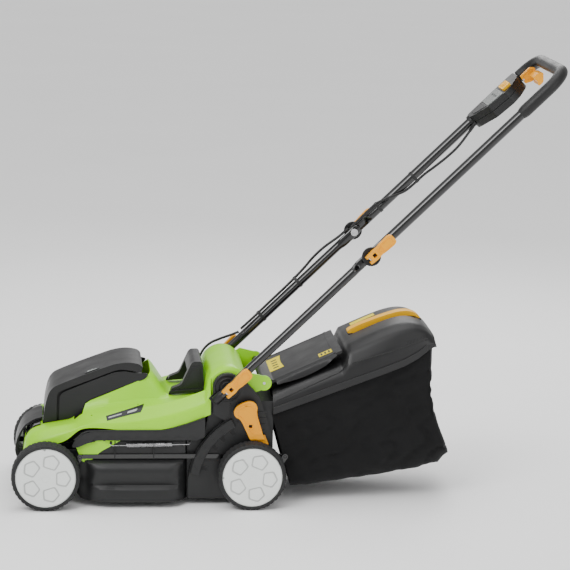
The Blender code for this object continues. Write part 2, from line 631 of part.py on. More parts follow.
# ---------------------------------------------------------------- flap
def flap():
    """Rear flap on its rod, with the spring that closes it."""
    rod = rod_mesh((HINGE_X, -0.1275, HINGE_Z), (HINGE_X, 0.1275, HINGE_Z), 0.003, 12)
    add_mesh("flap_rod", rod, "steel", MOWER)
    upper = arc(HINGE_X, HINGE_Z, 0.0085, 270, 90, 9) + [(0.500, 0.2755), (0.650, 0.3423)]
    lower = [(0.6515, 0.3363), (0.505, 0.2705), (0.490, 0.266)]
    mesh = plate_mesh(upper + lower, -0.118, 0.118, [(HINGE_X, HINGE_Z, 0.0034)])
    door = add_mesh("rear_flap", mesh, "grey", FLAP)
    boolean(door, box_mesh((0.460, -0.119, 0.258), (0.4935, -0.104, 0.285)))
    ring = [(0.0060, -0.1055), (0.0060, -0.1165), (0.0036, -0.1165), (0.0036, -0.1055)]
    add_mesh("flap_spring", turned_mesh(ring, (HINGE_X, 0, HINGE_Z), "Y", 20, closed=True), "steel", MOWER)


# ---------------------------------------------------------------- grass bag
def rounded_arch(x, half, rim, top, crown):
    """Arch of the bag lid: rim height at the sides, a flat crown and round shoulders."""
    rise = top - rim
    return section(x, [(crown * 0.5, top), (crown, top - rise * 0.03), (crown + (half - crown) * 0.5, top - rise * 0.16),
                       (half - 0.004, top - rise * 0.45), (half, rim)])


def grass_bag():
    """Grass bag: hard lid, cloth body open at the front and top, mouth frame and carrying handle."""
    lid_rows = [(0.497, 0.2060, 0.2560, 0.105), (0.550, 0.2225, 0.2780, 0.104), (0.600, 0.2405, 0.2995, 0.102),
                (0.650, 0.2595, 0.3225, 0.100), (0.662, 0.2640, 0.3540, 0.096), (0.700, 0.2785, 0.3720, 0.094),
                (0.750, 0.2968, 0.3945, 0.092), (0.790, 0.3114, 0.4060, 0.090), (0.820, 0.3280, 0.4030, 0.088),
                (0.845, 0.3470, 0.3880, 0.084)]
    rings = [rounded_arch(x, 0.135 - 0.02 * max(0, (x - 0.70) / 0.145) ** 2, rim, top, crown)
             for x, rim, top, crown in lid_rows]
    rings.append(section(0.8640, [(0.040, 0.354), (0.080, 0.3535), (0.095, 0.3530), (0.110, 0.3525), (0.114, 0.3520)]))
    mesh = loft_mesh(rings, caps=False, wrap=False)
    outward(mesh)
    lid = add_mesh("bag_lid", mesh, "grey", BAG)
    shell(lid, 0.003)
    pan = [(0.6719, 0.3542), (0.8075, 0.3542), (0.8270, 0.3925), (0.8270, 0.3950), (0.8200, 0.4005), (0.7900, 0.4040),
           (0.7500, 0.3925), (0.7000, 0.3700), (0.6719, 0.3570)]
    well = [(0.6749, 0.3572), (0.8055, 0.3572), (0.8240, 0.3945), (0.8240, 0.4300), (0.6749, 0.4300)]
    boolean(lid, plate_mesh(pan, -0.033, 0.033), "UNION")
    boolean(lid, plate_mesh(well, -0.0300, 0.0300))
    cloth_rows = [(0.4990, 0.5450, 0.2000, 0.0290, 1.0), (0.640, 0.6480, 0.2520, 0.0370, 1.0),
                  (0.740, 0.7420, 0.2895, 0.0500, 1.0), (0.810, 0.8300, 0.3180, 0.0590, 1.8),
                  (0.847, 0.8830, 0.3440, 0.0750, 2.2), (0.852, 0.8930, 0.3440, 0.1000, 2.2)]
    outside = [bag_ring(*row, 0.1330 - 0.022 * i ** 2 / 25) for i, row in enumerate(cloth_rows)]
    cloth = add_mesh("bag_cloth", loft_mesh(outside), "cloth", BAG)
    inside_rows = [(0.470, 0.510, 0.2600, 0.0320, 1.0)]
    inside_rows += [(a, b, top + 0.05, low + 0.003, bend) for a, b, top, low, bend in cloth_rows[:4]]
    inside_rows.append((0.843, 0.8800, 0.3980, 0.0790, 2.2))
    widths = [0.1300, 0.1300, 0.1291, 0.1265, 0.1225, 0.1165]
    boolean(cloth, loft_mesh([bag_ring(*row, half) for row, half in zip(inside_rows, widths)]))
    half = [(0.5460, 0.098, 0.0490), (0.5420, 0.1210, 0.0780), (0.5230, 0.1240, 0.1830), (0.5190, 0.1160, 0.1960)]
    loop = half + [(x, -y, z) for x, y, z in reversed(half)]
    add_mesh("bag_frame", wire_mesh(loop, 0.0025, 2, closed=True), "steel", BAG)
    path = [(0.6753, 0.3578), (0.6753, 0.3665), (0.7000, 0.3800), (0.7380, 0.3950), (0.7790, 0.4090),
            (0.8000, 0.4122), (0.8139, 0.4115), (0.8280, 0.4058), (0.8367, 0.3974), (0.8367, 0.3940),
            (0.8260, 0.4008), (0.8120, 0.4020), (0.8000, 0.4015), (0.7860, 0.3985), (0.7387, 0.3835),
            (0.7000, 0.3680), (0.6850, 0.3590)]
    add_mesh("bag_handle", plate_mesh(path, -0.0135, 0.0135), "yellow", BAG)


def bag_ring(top_x, bottom_x, top, bottom, bend, half):
    """Section of the bag across Y: straight sides, a rounded bottom; it leans or curves from top_x to bottom_x."""
    height = top - bottom
    points = [(half, 1.0), (half, 0.6), (half, 0.35), (half, 0.16), (half - 0.012, 0.05), (half - 0.040, 0.0)]
    right = [(top_x + (bottom_x - top_x) * (1 - share) ** bend, y, bottom + height * share) for y, share in points]
    return right + [(x, -y, z) for x, y, z in reversed(right)]


# ---------------------------------------------------------------- handle
def tube_ring(centre, radius, flat, shift):
    """Round section of a tube, pressed to half-thickness flat and moved by shift along Y."""
    ring = []
    for a in angles(14, math.pi / 14):
        wide = radius * (1.0 if flat is None else 1.12)
        thick = radius if flat is None else flat
        offset = ABOVE * (wide * math.cos(a))
        ring.append((centre.x + offset.x, centre.y + shift + thick * math.sin(a), centre.z + offset.z))
    return ring


def bolt_hole(tube, centre, sign):
    """Cut a bolt's hole across a tube's flattened end."""
    low, high = between(sign, 0.130, 0.175)
    boolean(tube, rod_mesh((centre.x, low, centre.z), (centre.x, high, centre.z), 0.0045))


def lower_handle():
    """Two lower tubes: a capped tail below the pivot and a flattened inner lap at the middle pivot."""
    for side, sign in SIDES.items():
        base = LOW_PIVOT + Vector((0, sign * TUBE_Y, 0))
        rings = []
        for distance, flat, shift in ((-0.039, None, 0), (-0.014, None, 0), (0.380, None, 0), (0.396, 0.0040, -0.0055),
                                      (0.445, 0.0040, -0.0055)):
            rings.append(tube_ring(base + ALONG * distance, LOW_TUBE_R, flat, sign * shift))
        tube = add_mesh(f"lower_tube_{side}", loft_mesh(rings), "tube", LOWER)
        bolt_hole(tube, LOW_PIVOT, sign)
        bolt_hole(tube, MID_PIVOT, sign)
        bolt(f"lower_bolt_{side}", LOW_PIVOT, sign, 0.1170, 0.1690, LOWER)
        cam_lever(f"lower_lever_{side}", LOW_PIVOT, sign, 0.0640, LOWER)


def bolt(name, place, sign, head, tip, parent):
    """Bolt with a round head inside and a plain shank outwards."""
    mesh = turned_mesh([(0, tip), (0.004, tip), (0.004, head + 0.0045), (0.0085, head + 0.0045), (0.0085, head),
                        (0, head)], place, steps=14)
    if sign < 0:
        mirrored(mesh)
    add_mesh(name, mesh, "steel", parent)


def cam_lever(name, place, sign, reach, parent):
    """Quick-release lever that lies along the tube and swings outwards about its round end."""
    middle = place - ALONG * LEVER_BACK + Vector((0, sign * LEVER_Y, 0))
    hinge = pivot(name + "_hinge", middle, parent)
    shape = [(-LEVER_BACK, -0.0105), (0.010, -0.0115), (0.030, -0.010), (reach - 0.010, -0.0125),
             (reach - 0.002, -0.008), (reach, 0.000), (reach - 0.002, 0.008), (reach - 0.010, 0.0125), (0.030, 0.010),
             (0.010, 0.0115), (-LEVER_BACK, 0.0105)]
    outline = [(place.x + ALONG.x * a + ABOVE.x * b, place.z + ALONG.z * a + ABOVE.z * b) for a, b in shape]
    low, high = between(sign, LEVER_Y - 0.0065, LEVER_Y + 0.0065)
    lever = add_mesh(name, plate_mesh(outline, low, high), "yellow", hinge)
    boolean(lever, rod_mesh(middle - ABOVE * 0.0108, middle + ABOVE * 0.0108, 0.0064, 20), "UNION")
    hollow = [(place.x + ALONG.x * a + ABOVE.x * b, place.z + ALONG.z * a + ABOVE.z * b)
              for a, b in ((0.012, -0.0075), (reach - 0.006, -0.0075), (reach - 0.006, 0.0075), (0.012, 0.0075))]
    low, high = between(sign, 0.165, LEVER_Y + 0.003)
    boolean(lever, plate_mesh(hollow, low, high))


def loop_path(count=7):
    """Centre line of the upper handle: left tube, round corner, crossbar, corner, right tube."""
    corner = 0.048
    points = []
    for sign in (-1, 1):
        side = []
        for i in range(count):
            a = math.pi / 2 * i / (count - 1)
            along = BAR_DISTANCE - corner + corner * math.sin(a)
            y = TUBE_Y - corner + corner * math.cos(a)
            side.append(tube_point(along, sign * y))
        points += side if sign < 0 else list(reversed(side))
    return points


def tube_point(distance, y):
    """Point at a distance from the lower pivot along the tubes, at a given Y."""
    return LOW_PIVOT + ALONG * distance + Vector((0, y, 0))


def swept_rings(path, radius, sides=14):
    """Round sections along a path that stays in the handle's plane."""
    rings = []
    for i, point in enumerate(path):
        before = path[max(i - 1, 0)]
        after = path[min(i + 1, len(path) - 1)]
        tangent = (after - before).normalized()
        across = tangent.cross(ABOVE)
        rings.append([tuple(point + ABOVE * (radius * math.cos(a)) + across * (radius * math.sin(a)))
                      for a in angles(sides, math.pi / sides)])
    return rings


def upper_handle():
    """Upper loop with outer laps at the middle pivot, its grip, bolts, washers and cam levers."""
    rings = []
    for distance, flat, shift in ((-0.017, 0.0040, 0.0055), (0.032, 0.0040, 0.0055), (0.048, None, 0)):
        centre = MID_PIVOT + ALONG * distance + Vector((0, -TUBE_Y, 0))
        rings.append(tube_ring(centre, TOP_TUBE_R, flat, -shift))
    middle = swept_rings(loop_path(), TOP_TUBE_R)
    tube = add_mesh("upper_tube", loft_mesh(aligned(rings, middle)), "tube", UPPER)
    grip_path = [tube_point(BAR_DISTANCE - 0.130, -TUBE_Y)] + loop_path() + [tube_point(BAR_DISTANCE - 0.060, TUBE_Y)]
    surface = loft_mesh(swept_rings(grip_path, GRIP_R), caps=False)
    grip = add_mesh("handle_grip", surface, "black", UPPER)
    shell(grip, GRIP_R - TOP_TUBE_R - 0.0007)
    for side, sign in SIDES.items():
        bolt_hole(tube, MID_PIVOT, sign)
        bolt(f"upper_bolt_{side}", MID_PIVOT, sign, 0.1375, 0.1690, UPPER)
        washer = [(0.0200, 0.1695), (0.0210, 0.1685), (0.0210, 0.1635), (0.0046, 0.1635), (0.0046, 0.1695)]
        mesh = turned_mesh(washer, MID_PIVOT, steps=24, closed=True)
        if sign < 0:
            mirrored(mesh)
        add_mesh(f"washer_{side}", mesh, "black", UPPER)
        cam_lever(f"upper_lever_{side}", MID_PIVOT, sign, 0.0640, UPPER)


def aligned(left_end, middle):
    """All the loop's rings: flattened left end, the swept middle and the mirrored right end."""
    right_end = [[(x, -y, z) for x, y, z in ring] for ring in reversed(left_end)]
    rows = [[Vector(p) for p in ring] for ring in left_end + middle + right_end]
    out = [rows[0]]
    for row in rows[1:]:
        best = None
        for order in (row, list(reversed(row))):
            for shift in range(len(row)):
                turned = order[shift:] + order[:shift]
                cost = sum((a - b).length for a, b in zip(turned, out[-1]))
                if best is None or cost < best[0]:
                    best = (cost, turned)
        out.append(best[1])
    return out


def tilted(outline, low, high):
    """A plate drawn in the handle's plane, (along, Y) points, from low to high above the tubes' centre."""
    mesh = plate_mesh(outline, low, high, axis="Z")
    mesh.transform(Matrix(((ALONG.x, 0, ABOVE.x, LOW_PIVOT.x), (0, 1, 0, 0),
                           (ALONG.z, 0, ABOVE.z, LOW_PIVOT.z), (0, 0, 0, 1))))
    return mesh


def handle_xz(points):
    """XZ of points measured along the tubes from the lower pivot and above their centre line."""
    spots = [LOW_PIVOT + ALONG * along + ABOVE * above for along, above in points]
    return [(spot.x, spot.z) for spot in spots]


def control_box():
    """Switch box clamped on the right tube, its panel, safety button and start lever."""
    plan = [(0.800, 0.136), (0.806, 0.126), (0.845, 0.080), (0.893, 0.067), (0.914, 0.076), (0.936, 0.100),
            (0.942, 0.118), (0.942, 0.166), (0.936, 0.1715), (0.806, 0.1715), (0.800, 0.166)]
    body = add_mesh("switch_box", tilted(plan, -0.0195, 0.0135), "black", UPPER)
    low = tube_point(0.760, TUBE_Y)
    high = tube_point(0.980, TUBE_Y)
    boolean(body, rod_mesh(low, high, TOP_TUBE_R + 0.0006, 20))
    boolean(body, tilted([(0.8935, 0.0840), (0.9175, 0.0840), (0.9175, 0.1410), (0.8935, 0.1410)], 0.0030, 0.0300))
    panel = [(0.846, 0.084), (0.890, 0.0725), (0.890, 0.160), (0.846, 0.160)]
    add_mesh("switch_panel", tilted(panel, 0.0137, 0.0152), "grey", UPPER)
    button = [(0.8945, 0.0850), (0.9165, 0.0850), (0.9165, 0.1400), (0.8945, 0.1400)]
    plunger = pivot("button_slide", LOW_PIVOT + ALONG * 0.9055 + ABOVE * 0.0135 + Vector((0, 0.1125, 0)), UPPER)
    add_mesh("safety_button", tilted(button, 0.0075, 0.0190), "yellow", plunger)
    lever_pivot = pivot("start_hinge", LOW_PIVOT + ALONG * 0.946 - ABOVE * 0.004, UPPER)
    arm = [(0.9455, 0.0065), (0.9750, 0.0070), (0.9835, -0.0010), (0.9765, -0.0150), (0.9600, -0.0215),
           (0.9440, -0.0140), (0.9440, 0.0000)]
    lever = add_mesh("start_lever", plate_mesh(handle_xz(arm), 0.1120, 0.1200), "yellow", lever_pivot)
    bar = [(0.9600, -0.0050), (0.9760, -0.0045), (0.9865, -0.0120), (0.9720, -0.0285), (0.9580, -0.0280),
           (0.9640, -0.0170)]
    boolean(lever, plate_mesh(handle_xz(bar), 0.0600, 0.1130), "UNION")


def cables():
    """Control cable from the switch box down the right tube and into the cover, cut at the fold joints."""
    def beside(distance, above, y):
        """A point of the cable's route beside the tube."""
        return LOW_PIVOT + ALONG * distance + ABOVE * above + Vector((0, y, 0))
    upper = [beside(0.7985, -0.0060, 0.1375), beside(0.770, -0.0130, 0.1370), beside(0.735, -0.0190, 0.1380),
             beside(0.700, -0.0195, 0.1400), beside(0.665, -0.0170, 0.1430), beside(0.635, -0.0148, 0.1490),
             beside(0.600, -0.0145, 0.1500), beside(0.575, -0.0100, 0.1420), beside(0.545, 0.0030, 0.1375),
             beside(0.515, 0.0135, 0.1385), beside(0.500, 0.0152, 0.1385), beside(0.450, 0.0150, 0.1375),
             beside(0.432, 0.0150, 0.1375)]
    lower = [beside(0.424, 0.0152, 0.1475), beside(0.395, 0.0165, 0.1475), beside(0.355, 0.0215, 0.1485),
             beside(0.320, 0.0215, 0.150), beside(0.285, 0.0175, 0.151), beside(0.240, 0.0150, 0.152),
             beside(0.170, 0.0145, 0.152), beside(0.120, 0.0150, 0.148), beside(0.086, 0.0175, 0.139)]
    body = [(0.4400, 0.1360, 0.3310), (0.4230, 0.130, 0.3255), (0.3980, 0.116, 0.3200), (0.3720, 0.100, 0.3120),
            (0.3540, 0.088, 0.2960), (0.3440, 0.080, 0.2720), (0.3400, 0.078, 0.2425)]
    for name, route, parent in (("cable_upper", upper, UPPER), ("cable_lower", lower, LOWER),
                                ("cable_body", body, MOWER)):
        add_mesh(name, wire_mesh(smooth(route, 3), CABLE_R, 2), "black", parent)


wheels()
axles()
height_lever()
link_rod()
balance_spring()
deck()
drive()
top_cover()
front_handle()
carry_handle()
battery_bay()
control_board()
brackets()
flap()
grass_bag()
lower_handle()
upper_handle()
control_box()
cables()
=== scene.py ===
"""Looks of the push lawn mower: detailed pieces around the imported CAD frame.

Metres throughout. X runs back from the front axle, Y to the right and Z up; piece() shifts X into the frame.
Most paired pieces are drawn on the left (-Y) and mirrored.
"""

import math

import bmesh
import bpy
from mathutils import Matrix, Vector, noise


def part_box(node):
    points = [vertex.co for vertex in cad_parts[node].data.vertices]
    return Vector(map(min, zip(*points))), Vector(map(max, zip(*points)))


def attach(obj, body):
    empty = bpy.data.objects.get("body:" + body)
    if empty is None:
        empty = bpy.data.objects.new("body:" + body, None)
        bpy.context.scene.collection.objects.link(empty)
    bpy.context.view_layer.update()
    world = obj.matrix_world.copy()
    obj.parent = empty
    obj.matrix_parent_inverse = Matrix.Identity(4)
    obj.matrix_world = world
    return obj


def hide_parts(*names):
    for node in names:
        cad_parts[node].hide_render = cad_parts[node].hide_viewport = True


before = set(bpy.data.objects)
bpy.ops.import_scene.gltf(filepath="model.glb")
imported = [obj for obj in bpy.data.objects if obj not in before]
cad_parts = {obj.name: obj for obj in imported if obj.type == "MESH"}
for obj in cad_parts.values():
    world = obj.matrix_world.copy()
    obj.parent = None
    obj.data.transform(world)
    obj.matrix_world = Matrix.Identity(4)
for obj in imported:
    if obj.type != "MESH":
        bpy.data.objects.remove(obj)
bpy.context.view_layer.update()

# ---------------------------------------------------------------- places read from the frame
TYRE_LOW, TYRE_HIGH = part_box("front_left_tyre")
FRONT_X = (TYRE_LOW.x + TYRE_HIGH.x) / 2
WHEEL_R = (TYRE_HIGH.z - TYRE_LOW.z) / 2
REAR_LOW, REAR_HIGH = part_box("rear_left_tyre")
WHEELBASE = (REAR_LOW.x + REAR_HIGH.x) / 2 - FRONT_X
TUBE_Y = 0.153
HANDLE_ANGLE = math.radians(44.3)
ALONG = Vector((math.cos(HANDLE_ANGLE), 0, math.sin(HANDLE_ANGLE)))
ABOVE = Vector((-ALONG.z, 0, ALONG.x))
LOW_X = 0.396
LOW_PIVOT = Vector((LOW_X, 0, 0.265))
MID_DISTANCE = 0.428
HINGE = (0.478, 0.272)
BRACKET = (WHEELBASE + 0.0315, 0.046)
SIDES = {"left": -1, "right": 1}


# ---------------------------------------------------------------- materials
def shader_of(name):
    """A new material, its node tree and its Principled shader."""
    made = bpy.data.materials.new(name)
    made.use_nodes = True
    return made, made.node_tree, made.node_tree.nodes["Principled BSDF"]


def noise_node(tree, scale, detail=4.0, stretch=(1, 1, 1)):
    """Noise in object coordinates, stretched along the axes."""
    place = tree.nodes.new("ShaderNodeTexCoord")
    mapping = tree.nodes.new("ShaderNodeMapping")
    mapping.inputs["Scale"].default_value = stretch
    tree.links.new(place.outputs["Object"], mapping.inputs["Vector"])
    made = tree.nodes.new("ShaderNodeTexNoise")
    made.inputs["Scale"].default_value = scale
    made.inputs["Detail"].default_value = detail
    tree.links.new(mapping.outputs["Vector"], made.inputs["Vector"])
    return made


def ramp(tree, source, stops):
    """A colour ramp with (position, colour) stops."""
    made = tree.nodes.new("ShaderNodeValToRGB")
    for element, (place, colour) in zip(made.color_ramp.elements, stops):
        element.position = place
        element.color = (*colour, 1)
    tree.links.new(source, made.inputs["Fac"])
    return made


def bump(tree, shader, height, strength, distance):
    """Bump from a height value."""
    made = tree.nodes.new("ShaderNodeBump")
    made.inputs["Strength"].default_value = strength
    made.inputs["Distance"].default_value = distance
    tree.links.new(height, made.inputs["Height"])
    tree.links.new(made.outputs["Normal"], shader.inputs["Normal"])


def moulded(name, colour, rough, grain=900, depth=0.12, vary=0.12, wear=0.25, coat=0.0, gloss=0.4):
    """Moulded plastic: faint colour drift, lighter rubbed edges and a fine surface grain."""
    made, tree, shader = shader_of(name)
    dark = tuple(c * (1 - vary) for c in colour)
    light = tuple(min(1, c * (1 + vary)) for c in colour)
    drift = ramp(tree, noise_node(tree, 6).outputs["Fac"], [(0.35, dark), (0.65, light)])
    edge = tree.nodes.new("ShaderNodeNewGeometry")
    worn = ramp(tree, edge.outputs["Pointiness"], [(0.5, (0, 0, 0)), (0.6, (wear, wear, wear))])
    mix = tree.nodes.new("ShaderNodeMix")
    mix.data_type = "RGBA"
    mix.inputs["B"].default_value = (*[min(1, c * 1.5 + 0.02) for c in colour], 1)
    tree.links.new(worn.outputs["Color"], mix.inputs["Factor"])
    tree.links.new(drift.outputs["Color"], mix.inputs["A"])
    tree.links.new(mix.outputs["Result"], shader.inputs["Base Color"])
    rubbed = ramp(tree, noise_node(tree, 22).outputs["Fac"],
                  [(0.3, (rough * 0.85,) * 3), (0.7, (rough * 1.15,) * 3)])
    tree.links.new(rubbed.outputs["Color"], shader.inputs["Roughness"])
    shader.inputs["Coat Weight"].default_value = coat
    shader.inputs["Specular IOR Level"].default_value = gloss
    bump(tree, shader, noise_node(tree, grain, 2).outputs["Fac"], depth, 0.0004)
    return made


def metal(name, colour, rough, stretch=(1, 1, 1)):
    """Metal with drawn or brushed streaks."""
    made, tree, shader = shader_of(name)
    shader.inputs["Metallic"].default_value = 1.0
    streak = noise_node(tree, 120, 6, stretch)
    tone = ramp(tree, streak.outputs["Fac"], [(0.3, tuple(c * 0.8 for c in colour)), (0.7, colour)])
    tree.links.new(tone.outputs["Color"], shader.inputs["Base Color"])
    rubbed = ramp(tree, streak.outputs["Fac"], [(0.3, (rough * 0.8,) * 3), (0.7, (rough * 1.3,) * 3)])
    tree.links.new(rubbed.outputs["Color"], shader.inputs["Roughness"])
    bump(tree, shader, streak.outputs["Fac"], 0.1, 0.0003)
    return made


def woven(name, colour):
    """Open polyester mesh: two crossing threads as bump and tone, with a slow colour drift."""
    pitch = 0.0016
    made, tree, shader = shader_of(name)
    place = tree.nodes.new("ShaderNodeTexCoord")
    waves = []
    for turn in (0.0, math.pi / 2):
        mapping = tree.nodes.new("ShaderNodeMapping")
        mapping.inputs["Rotation"].default_value = (0, turn, 0)
        tree.links.new(place.outputs["Object"], mapping.inputs["Vector"])
        wave = tree.nodes.new("ShaderNodeTexWave")
        wave.inputs["Scale"].default_value = 0.314 / pitch
        wave.inputs["Distortion"].default_value = 0.6
        wave.inputs["Detail"].default_value = 1.0
        tree.links.new(mapping.outputs["Vector"], wave.inputs["Vector"])
        waves.append(wave)
    weave = tree.nodes.new("ShaderNodeMath")
    weave.operation = "MAXIMUM"
    tree.links.new(waves[0].outputs["Fac"], weave.inputs[0])
    tree.links.new(waves[1].outputs["Fac"], weave.inputs[1])
    cloudy = noise_node(tree, 14, 5)
    both = tree.nodes.new("ShaderNodeMath")
    both.operation = "MULTIPLY"
    tree.links.new(weave.outputs[0], both.inputs[0])
    tree.links.new(cloudy.outputs["Fac"], both.inputs[1])
    tone = ramp(tree, both.outputs[0], [(0.15, tuple(c * 0.45 for c in colour)), (0.65, colour)])
    tree.links.new(tone.outputs["Color"], shader.inputs["Base Color"])
    shader.inputs["Roughness"].default_value = 0.85
    shader.inputs["Sheen Weight"].default_value = 0.06
    shader.inputs["Specular IOR Level"].default_value = 0.25
    bump(tree, shader, weave.outputs[0], 0.5, 0.0006)
    return made


GREEN = moulded("cover_green", (0.3, 0.7, 0.0), 0.34, grain=700, depth=0.05, vary=0.04, wear=0.08,
                gloss=0.35)
BLACK = moulded("deck_black", (0.0075, 0.0078, 0.008), 0.42, wear=0.12)
TRIM = moulded("trim_black", (0.0055, 0.0055, 0.006), 0.4, wear=0.1)
# Deepest black: the battery bay's own plastic and the dark seam line, and painted shade on the floors of
# notches, holes and vent slots.
BAY_BLACK_AND_SLOT_SHADE = moulded("bay_black_and_slot_shade", (0.003, 0.003, 0.0033), 0.5, wear=0.05)
GREY = moulded("lid_grey", (0.0066, 0.0066, 0.007), 0.4, wear=0.1)
# Mid-grey for the floors of the hub caps' panel grooves: painted shade in the grooves.
HUB_GROOVE_SHADE = moulded("hub_groove_shade", (0.46, 0.47, 0.46), 0.5, vary=0.05, wear=0.0)
LEVER = moulded("lever_yellow", (0.82, 0.33, 0.0), 0.4, grain=600, depth=0.05, vary=0.05, wear=0.1,
                gloss=0.3)
BUTTON = moulded("button_yellow", (0.8, 0.42, 0.0), 0.4, grain=600, depth=0.05, vary=0.05, wear=0.1,
                 gloss=0.3)
BAG_YELLOW = moulded("bag_yellow", (0.8, 0.41, 0.0), 0.4, grain=600, depth=0.05, vary=0.05, wear=0.1,
                     gloss=0.3)
LABEL = moulded("label_yellow", (0.72, 0.58, 0.0), 0.5, grain=300, depth=0.03, vary=0.05, wear=0.0)
PRINT = moulded("label_black", (0.01, 0.012, 0.012), 0.35, grain=300, depth=0.02, vary=0.1, wear=0.0)
PRINT_GREY = moulded("label_grey", (0.45, 0.48, 0.46), 0.45, grain=300, depth=0.02, vary=0.1, wear=0.0)
PANEL = moulded("panel_grey", (0.16, 0.17, 0.165), 0.38, wear=0.1)
WHITE = moulded("hub_white", (0.72, 0.745, 0.72), 0.38, grain=500, depth=0.05, vary=0.03, wear=0.05)
TYRE = moulded("tyre_black", (0.012, 0.0122, 0.0125), 0.72, grain=420, depth=0.35, wear=0.35)
GRIP = moulded("grip_black", (0.006, 0.006, 0.006), 0.46, grain=350, depth=0.12, wear=0.1)
TUBE = moulded("tube_black", (0.0025, 0.0025, 0.0028), 0.16, grain=260, depth=0.05, wear=0.05, coat=0.6)
CABLE = moulded("cable_black", (0.005, 0.005, 0.0055), 0.45, grain=900, depth=0.15, wear=0.05)
CLOTH = woven("cloth_black", (0.0045, 0.0045, 0.005))
STEEL = metal("steel", (0.62, 0.62, 0.63), 0.28)
BLADE = metal("blade_steel", (0.09, 0.09, 0.095), 0.45, (12, 1, 1))
MOTOR = metal("motor_metal", (0.42, 0.42, 0.44), 0.45)
BOARD = moulded("board_green", (0.01, 0.12, 0.04), 0.5)

# ---------------------------------------------------------------- building helpers
def at(x, y, z):
    """A point given back from the front axle, in the row frame."""
    return Vector((x + FRONT_X, y, z))


def linked(name, data):
    """A new object in the scene."""
    thing = bpy.data.objects.new(name, data)
    bpy.context.scene.collection.objects.link(thing)
    return thing


def subdivided(thing, levels):
    """Subdivide and smooth an object's surface."""
    step = thing.modifiers.new("smooth", "SUBSURF")
    step.levels = levels
    step.render_levels = levels


def piece(name, mesh, look, body, replaced=(), bevel=0.0, segments=3, angle=35):
    """A finished visual piece: mesh in front-axle coordinates, riding on a body."""
    thing = linked(name, mesh)
    thing.location = (FRONT_X, 0, 0)
    mesh.materials.clear()
    mesh.materials.append(look)
    mesh.shade_smooth()
    mesh.set_sharp_from_angle(angle=math.radians(angle))
    if bevel:
        soften(thing, bevel, segments, angle)
    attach(thing, body)
    if replaced:
        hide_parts(*replaced)
    return thing


def soften(thing, width, segments, angle=35):
    """Rounded edges."""
    step = thing.modifiers.new("edges", "BEVEL")
    step.width = width
    step.segments = segments
    step.limit_method = "ANGLE"
    step.angle_limit = math.radians(angle)
    step.harden_normals = False
    step.miter_outer = "MITER_ARC"


def cad(node, look, bevel):
    """Keep a CAD node with a better material and softened edges."""
    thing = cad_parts[node]
    thing.data.materials.clear()
    thing.data.materials.append(look)
    if bevel:
        weld = thing.modifiers.new("weld", "WELD")
        weld.merge_threshold = 0.00002
        soften(thing, bevel, 2)


def to_mesh(work):
    """A mesh datablock from a bmesh."""
    mesh = bpy.data.meshes.new("mesh")
    bmesh.ops.recalc_face_normals(work, faces=work.faces)
    work.to_mesh(mesh)
    work.free()
    return mesh


def grid(rows, wrap_rows=False, wrap_cols=False, caps=False):
    """Quads through rows of points."""
    work = bmesh.new()
    points = [[work.verts.new(p) for p in row] for row in rows]
    last = len(points) if wrap_rows else len(points) - 1
    width = len(points[0])
    for i in range(last):
        first, second = points[i], points[(i + 1) % len(points)]
        for j in range(width if wrap_cols else width - 1):
            k = (j + 1) % width
            work.faces.new((first[j], first[k], second[k], second[j]))
    if caps:
        work.faces.new(points[0])
        work.faces.new(points[-1])
    return to_mesh(work)


def turned(profile, centre, steps=64, wave=None):
    """Solid of revolution about Y: (radius, y) pairs as a closed ring or ending on the axis."""
    rows = []
    for i in range(steps):
        a = 2 * math.pi * i / steps
        row = []
        for number, (radius, y) in enumerate(profile):
            r = radius + (wave(number, i) if wave else 0)
            row.append((centre[0] + r * math.cos(a), y, centre[1] + r * math.sin(a)))
        rows.append(row)
    mesh = grid(rows, wrap_rows=True, wrap_cols=True)
    work = bmesh.new()
    work.from_mesh(mesh)
    bmesh.ops.remove_doubles(work, verts=work.verts, dist=0.000005)
    bmesh.ops.dissolve_degenerate(work, edges=work.edges, dist=0.000005)
    bpy.data.meshes.remove(mesh)
    return to_mesh(work)


def plate(outline, low, high, holes=()):
    """A flat XZ outline with holes (each a list of points), from Y low to high."""
    curve = bpy.data.curves.new("outline", "CURVE")
    curve.dimensions = "2D"
    curve.fill_mode = "BOTH"
    curve.extrude = abs(high - low) / 2
    for loop in [outline, *holes]:
        spline = curve.splines.new("POLY")
        spline.points.add(len(loop) - 1)
        spline.use_cyclic_u = True
        for point, (x, z) in zip(spline.points, loop):
            point.co = (x, z, 0, 1)
    thing = linked("outline", curve)
    thing.rotation_euler = (math.pi / 2, 0, 0)
    thing.location = (0, (low + high) / 2, 0)
    return taken(thing)


def tube(points, radius, sides):
    """A round wire or tube along points."""
    curve = bpy.data.curves.new("wire", "CURVE")
    curve.dimensions = "3D"
    curve.bevel_depth = radius
    curve.bevel_resolution = sides
    curve.use_fill_caps = True
    spline = curve.splines.new("POLY")
    spline.points.add(len(points) - 1)
    for point, co in zip(spline.points, points):
        point.co = (*co, 1)
    thing = linked("wire", curve)
    return taken(thing)


def taken(thing):
    """The evaluated mesh of a helper object in world axes, welded; the object goes."""
    bpy.context.view_layer.update()
    graph = bpy.context.evaluated_depsgraph_get()
    mesh = bpy.data.meshes.new_from_object(thing.evaluated_get(graph))
    mesh.transform(thing.matrix_world)
    bpy.data.objects.remove(thing)
    work = bmesh.new()
    work.from_mesh(mesh)
    bmesh.ops.remove_doubles(work, verts=work.verts, dist=0.00001)
    bpy.data.meshes.remove(mesh)
    return to_mesh(work)


def block(low, high):
    """A box between two corners."""
    low, high = Vector(low), Vector(high)
    work = bmesh.new()
    size = Matrix.Diagonal((*(high - low), 1))
    bmesh.ops.create_cube(work, size=1, matrix=Matrix.Translation((low + high) / 2) @ size)
    return to_mesh(work)


